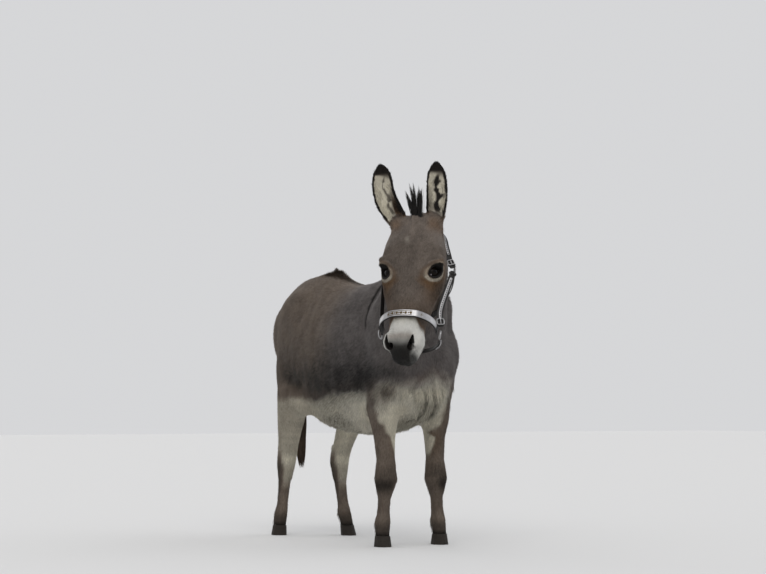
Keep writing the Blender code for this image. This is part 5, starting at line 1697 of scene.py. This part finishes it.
def buckle(name, place, out, along, across, long, wide, wire=0.0016):
    # a rounded frame of wire with its tongue
    turn, ring = circle(40), circle(8)
    c, s = np.cos(turn), np.sin(turn)
    x = np.sign(c) * np.abs(c) ** 0.45 * long / 2
    y = np.sign(s) * np.abs(s) ** 0.45 * wide / 2
    loop = place + along * x[:, None] + across * y[:, None]
    side = np.cross(unit(np.roll(loop, -1, 0) - np.roll(loop, 1, 0)), out)
    around = side[:, None] * np.cos(ring)[None, :, None] + out * np.sin(ring)[None, :, None]
    co = (loop[:, None] + around * wire).reshape(-1, 3)
    tris = np.array(tubeFaces(len(turn) + 1, len(ring))) % len(co)
    ridden(meshFrom(name, co, outwardTurned(co, tris, place)), "metal", material=silver)
    line = np.linspace(0, 1, 14)[:, None]
    tongue = place + along * (line - 0.5) * long + out * (wire * 1.3 + 0.0006 * np.sin(line * 3.1))
    pin = swept(name + "_tongue", tongue, np.tile(out, (14, 1)), wireSection(wire * 0.7, wire * 0.7), 0.6)[0]
    ridden(pin, "metal", material=silver)


def keeper(name, place, out, across, width, thick, long=0.007):
    # a narrow loop of leather round the strap
    half = width / 2 + 0.0012
    turn = np.linspace(math.pi, 0, 26)
    x = np.cos(turn) * half
    y = np.sin(turn) ** 0.35 * (thick + 0.0016)
    path = place + across * x[:, None] + out * y[:, None]
    lean = unit(across * (x / half)[:, None] ** 5 + out * (0.15 + np.sin(turn)[:, None] ** 0.5))
    loop = swept(name, path, lean, strapSection(long, -0.0007, 0.0016, 0.0005, 0.0001), 0.1)[0]
    ridden(loop, "leather", material=leather)


def ringOf(node):
    # a round ring of wire where the solid's own ring is
    points = placesOf(nodes[node].data)
    middle = (points.max(0) + points.min(0)) / 2
    ways = np.linalg.eigh(np.cov((points - middle).T))[1]
    normal, first = ways[:, 0], ways[:, 2]
    far = (points - middle) - ((points - middle) @ normal)[:, None] * normal
    radius = np.linalg.norm(far, axis=1)
    major = (radius.max() + radius.min()) / 2
    deselect()
    wire = harness["wire"] * 0.97
    bpy.ops.mesh.primitive_torus_add(
        major_radius=major, minor_radius=wire, major_segments=48, minor_segments=14
    )
    ring = bpy.context.active_object
    ring.name = ring.data.name = node + "_metal"
    flat = placesOf(ring.data)
    turned = flat[:, :1] * first + flat[:, 1:2] * np.cross(normal, first) + flat[:, 2:] * normal
    setPlaces(ring.data, middle + turned)
    ring.data.shade_smooth()
    ridden(ring, "metal", node, material=silver)


def makeNoseband():
    count = 19
    angle = np.radians(-16 + 212 * np.arange(count) / (count - 1))
    c, s = np.cos(angle), np.sin(angle)
    wide, high = (np.sign(part) * np.abs(part) ** 0.9 for part in (c, s))
    path = np.array([
        onHead(0.343 - 0.010 * s[k], wide[k] * 0.084, high[k] * 0.077 - 0.075) for k in range(count)
    ])
    outward = unit(headLeft * (c * 0.077)[:, None] + headUp * (s * 0.084)[:, None])
    path = clearOf(eased(path, 1), 0.0022, harness["noseband"])[0]
    line = strap("halter_noseband", path, outward, harness["noseband"])
    return line, plate("halter_nose_plate", line, harness["noseband"] * 0.84, 2 / 18, 15.4 / 18)


def makeCheeks():
    lines = {}
    turned = unit(headLeft * 0.45 + headUp * 0.90)
    for side in sides:
        start, end = (onHead(*harness["rings"][label][side]) for label in ("lower", "upper"))
        run = unit(end - start)
        first, last = start + run * 0.0175, end - run * 0.0175
        if side == "left":
            first, last = first + run * 0.010, end - run * 0.0055
            path = eased(spread([first, onHead(0.285, 0.083, -0.094), last], 9), 1)
            facings = np.tile(turned, (9, 1))
        else:
            path, facings = clearOf(spread([first, last], 9), 0.0024, harness["strap"])
        line = strap("halter_cheek_" + side, path, facings, harness["strap"])
        lines[side] = line, plate("halter_cheek_plate_" + side, line, harness["strap"] * 0.44, 1 / 8, 7 / 8)
    return lines


def makeCrown():
    waypoints = (
        (0.121, 0.1118, -0.1095), (0.056, 0.095, -0.102), (0.008, 0.078, -0.098), (-0.022, 0.056, -0.108),
        (-0.034, 0.024, -0.120), (-0.034, -0.024, -0.120), (-0.022, -0.056, -0.108), (0.006, -0.082, -0.098),
        (0.052, -0.099, -0.102), (0.102, -0.106, -0.113),
    )
    path = eased(spread([onHead(*p) for p in waypoints], 18), 2)
    path, facings = clearOf(path, 0.0040, harness["strap"])
    turned = unit(headLeft * 0.50 + headUp * 0.80 + headAxis * 0.30)
    for index in range(7):
        share = min(1.0, (7 - index) / 3)
        facings[index] = unit(facings[index] * (1 - share) + turned * share)
    inwards = np.interp(np.arange(18), (0, 1, 3, 6), (0, 0.006, 0.007, 0))
    path = path - headLeft * inwards[:, None]
    line = strap("halter_crown", path, facings, harness["strap"])
    return line, plate("halter_crown_plate", line, harness["strap"] * 0.36, 2 / 17, 5 / 17)


def makeLowerStraps():
    chin = (
        (0.362, 0.087, -0.126), (0.370, 0.076, -0.148), (0.374, 0.050, -0.162), (0.374, 0.000, -0.168),
        (0.374, -0.050, -0.162), (0.370, -0.076, -0.146), (0.362, -0.086, -0.120),
    )
    path = eased(spread([onHead(*p) for p in chin], 13), 2)
    outward = unit(path - onHead(0.350, 0, -0.070))
    path = clearOf(path, 0.0022, harness["strap"] * 0.8)[0]
    chinLine = strap("halter_chin_strap", path, outward, harness["strap"] * 0.8)
    throat = (
        (0.136, 0.110, -0.136), (0.160, 0.100, -0.172), (0.184, 0.068, -0.206), (0.192, 0.000, -0.222),
        (0.184, -0.068, -0.206), (0.160, -0.100, -0.172), (0.138, -0.108, -0.136),
    )
    path = eased(spread([onHead(*p) for p in throat], 15), 1)
    path, facings = clearOf(path, 0.0024, harness["strap"] * 0.85)
    strap("halter_throat_strap", path, facings, harness["strap"] * 0.85)
    return chinLine


ornament = {
    # places are shares of the nose plate's length and metres across it
    "dots": (0.44, 0.74, 11), "dotSizes": (0.0042, 0.0027), "rosette": 0.30, "petals": 7,
    "lines": (0.42, 0.76), "lineAside": 0.0058, "darkStep": 0.0075, "darkSize": (0.0028, 0.0017, 0.0005),
    "rivets": (0.04, 0.96), "rivetSize": (0.0019, 0.0019, 0.0010),
}


def makeOrnament(nosePlate, cheeks, crownPlate):
    # a row of raised gold dots between two gold lines on the nose plate, small dark dots on the other plates
    o = ornament
    dots = [
        (onPlate(nosePlate, share), o["dotSizes"][k % 2]) for k, share in enumerate(np.linspace(*o["dots"]))
    ]
    dots.append((onPlate(nosePlate, o["rosette"]), 0.0022))
    for a in np.linspace(0, 5.5, o["petals"]):
        dots.append((onPlate(nosePlate, o["rosette"] + 0.018 * math.cos(a), 0.0046 * math.sin(a)), 0.0009))
    axes = np.array([np.stack([along, across, out]) for (_, out, along, across), _ in dots])
    sizes = np.array([(size, size, 0.0006) for _, size in dots])
    gilded = strewn("halter_gold_dots", seed, np.array([spot[0] for spot, _ in dots]), axes, sizes)
    ridden(gilded, "metal", material=gold)
    count = len(nosePlate[0]) - 1
    for k, edge in enumerate((-1, 1)):
        steps = range(*(int(end * count) for end in o["lines"]))
        spots = [onPlate(nosePlate, (step + 0.5) / count, edge * o["lineAside"]) for step in steps]
        path, outs = (np.array([spot[part] for spot in spots]) for part in (0, 1))
        wire = swept(f"halter_gold_line_{k + 1}", path, outs, wireSection(0.0009, 0.0006), 0.5)[0]
        ridden(wire, "metal", material=gold)
    for line in (cheeks["left"][1], cheeks["right"][1], crownPlate):
        place, out, along, across = alongLine(line, o["darkStep"], 0.06, 0.95)
        darkSpots.append((place + out * plateTop, np.stack([along, across, out], 1), o["darkSize"]))
    for share in o["rivets"]:
        place, out, along, across = onPlate(nosePlate, share)
        rivetSpots.append((place[None], np.stack([along, across, out])[None], o["rivetSize"]))


def makeFittings(noseLine, cheeks, crownLine, chinLine):
    for label in harness["rings"]:
        for side in sides:
            ringOf(f"halter_{label}_ring_{side}")
    cheek, strapWidth = cheeks["left"][0], harness["strap"]
    for name, line, width, index in (
        ("cheek_left_low", cheek, strapWidth, 3), ("cheek_left_high", cheek, strapWidth, -5),
        ("cheek_right_low", cheeks["right"][0], strapWidth, 3), ("crown_left", crownLine, strapWidth, 5),
        ("nose_left", noseLine, harness["noseband"], 8), ("chin_left", chinLine, strapWidth * 0.8, 6),
    ):
        place, out, _, across = (part[index] for part in line)
        keeper(f"halter_keeper_{name}", place, out, across, width, harness["thick"])
    for name, line, index, lift, long, wide in (
        ("crown", crownLine, 9, 0.0046, 0.017, 0.020), ("cheek", cheek, 7, 0.0044, 0.018, 0.022),
        ("side", chinLine, 5, 0.0046, 0.017, 0.022), ("chin", chinLine, 10, 0.0042, 0.014, 0.017),
    ):
        place, out, along, across = (part[index] for part in line)
        buckle(f"halter_buckle_{name}", place + out * lift, out, along, across, long, wide)


noseLine, nosePlate = makeNoseband()
cheeks = makeCheeks()
crownLine, crownPlate = makeCrown()
chinLine = makeLowerStraps()
makeOrnament(nosePlate, cheeks, crownPlate)
makeFittings(noseLine, cheeks, crownLine, chinLine)
for name, spots, slotName, material in (
    ("stitches", [spot + (harness["stitchSize"],) for spot in stitchSpots], "leather", thread),
    ("silver_dots", rivetSpots, "metal", silver), ("dark_dots", darkSpots, "metal", blackened),
):
    places, axes = (np.concatenate([spot[part] for spot in spots]) for part in (0, 1))
    sizes = np.concatenate([np.tile(spot[2], (len(spot[0]), 1)) for spot in spots])
    ridden(strewn("halter_" + name, seed, places, axes, sizes), slotName, material=material)
print("halter made")

# ---- camera, floor and light

view = {"place": (-3.186, -4.921, 0.414), "azimuth": -33.6, "pitch": 4.14, "lens": 83.09}


def makeCamera():
    data = bpy.data.cameras.new("camera")
    data.lens, data.sensor_width = view["lens"], 36
    camera = bpy.data.objects.new("camera", data)
    bpy.context.scene.collection.objects.link(camera)
    turn, pitch = math.radians(view["azimuth"]), math.radians(view["pitch"])
    ahead = Vector((-math.sin(turn) * math.cos(pitch), math.cos(turn) * math.cos(pitch), math.sin(pitch)))
    camera.location = moved + np.array(view["place"])
    camera.rotation_mode = "QUATERNION"
    camera.rotation_quaternion = ahead.to_track_quat("-Z", "Y")
    bpy.context.scene.camera = camera


studio = {
    "sky": (0.84, 0.845, 0.86), "skyStrength": 0.80, "floor": (0.62, 0.62, 0.62),
    # where each soft sun stands, how strong it is, how wide, and its tint
    "suns": (
        ((-2.2, -3.0, 3.6), 1.15, 50, (1.0, 0.98, 0.95)),
        ((3.5, -0.5, 2.4), 0.45, 60, (0.95, 0.97, 1.0)),
        ((0.5, 4.0, 2.6), 0.55, 60, (1.0, 0.99, 0.97)),
    ),
}


def makeStudio():
    bpy.ops.mesh.primitive_plane_add(size=60, location=(0, 0, 0))
    floor = bpy.context.active_object
    floor.name = "floor"
    floor.data.materials.append(newMaterial("paleFloor", 0.9, Base_Color=studio["floor"])[0])
    world = bpy.data.worlds.new("sky")
    bpy.context.scene.world = world
    world.use_nodes = True
    background = world.node_tree.nodes["Background"]
    background.inputs[0].default_value = (*studio["sky"], 1)
    background.inputs[1].default_value = studio["skyStrength"]
    for place, power, width, tint in studio["suns"]:
        data = bpy.data.lights.new("softSun", "SUN")
        data.energy, data.angle, data.color = power, math.radians(width), tint
        lamp = bpy.data.objects.new("softSun", data)
        lamp.location = place
        lamp.rotation_mode = "QUATERNION"
        lamp.rotation_quaternion = (-Vector(place)).to_track_quat("-Z", "Y")
        bpy.context.scene.collection.objects.link(lamp)


makeCamera()
makeStudio()
bpy.context.scene.view_settings.view_transform = "Standard"
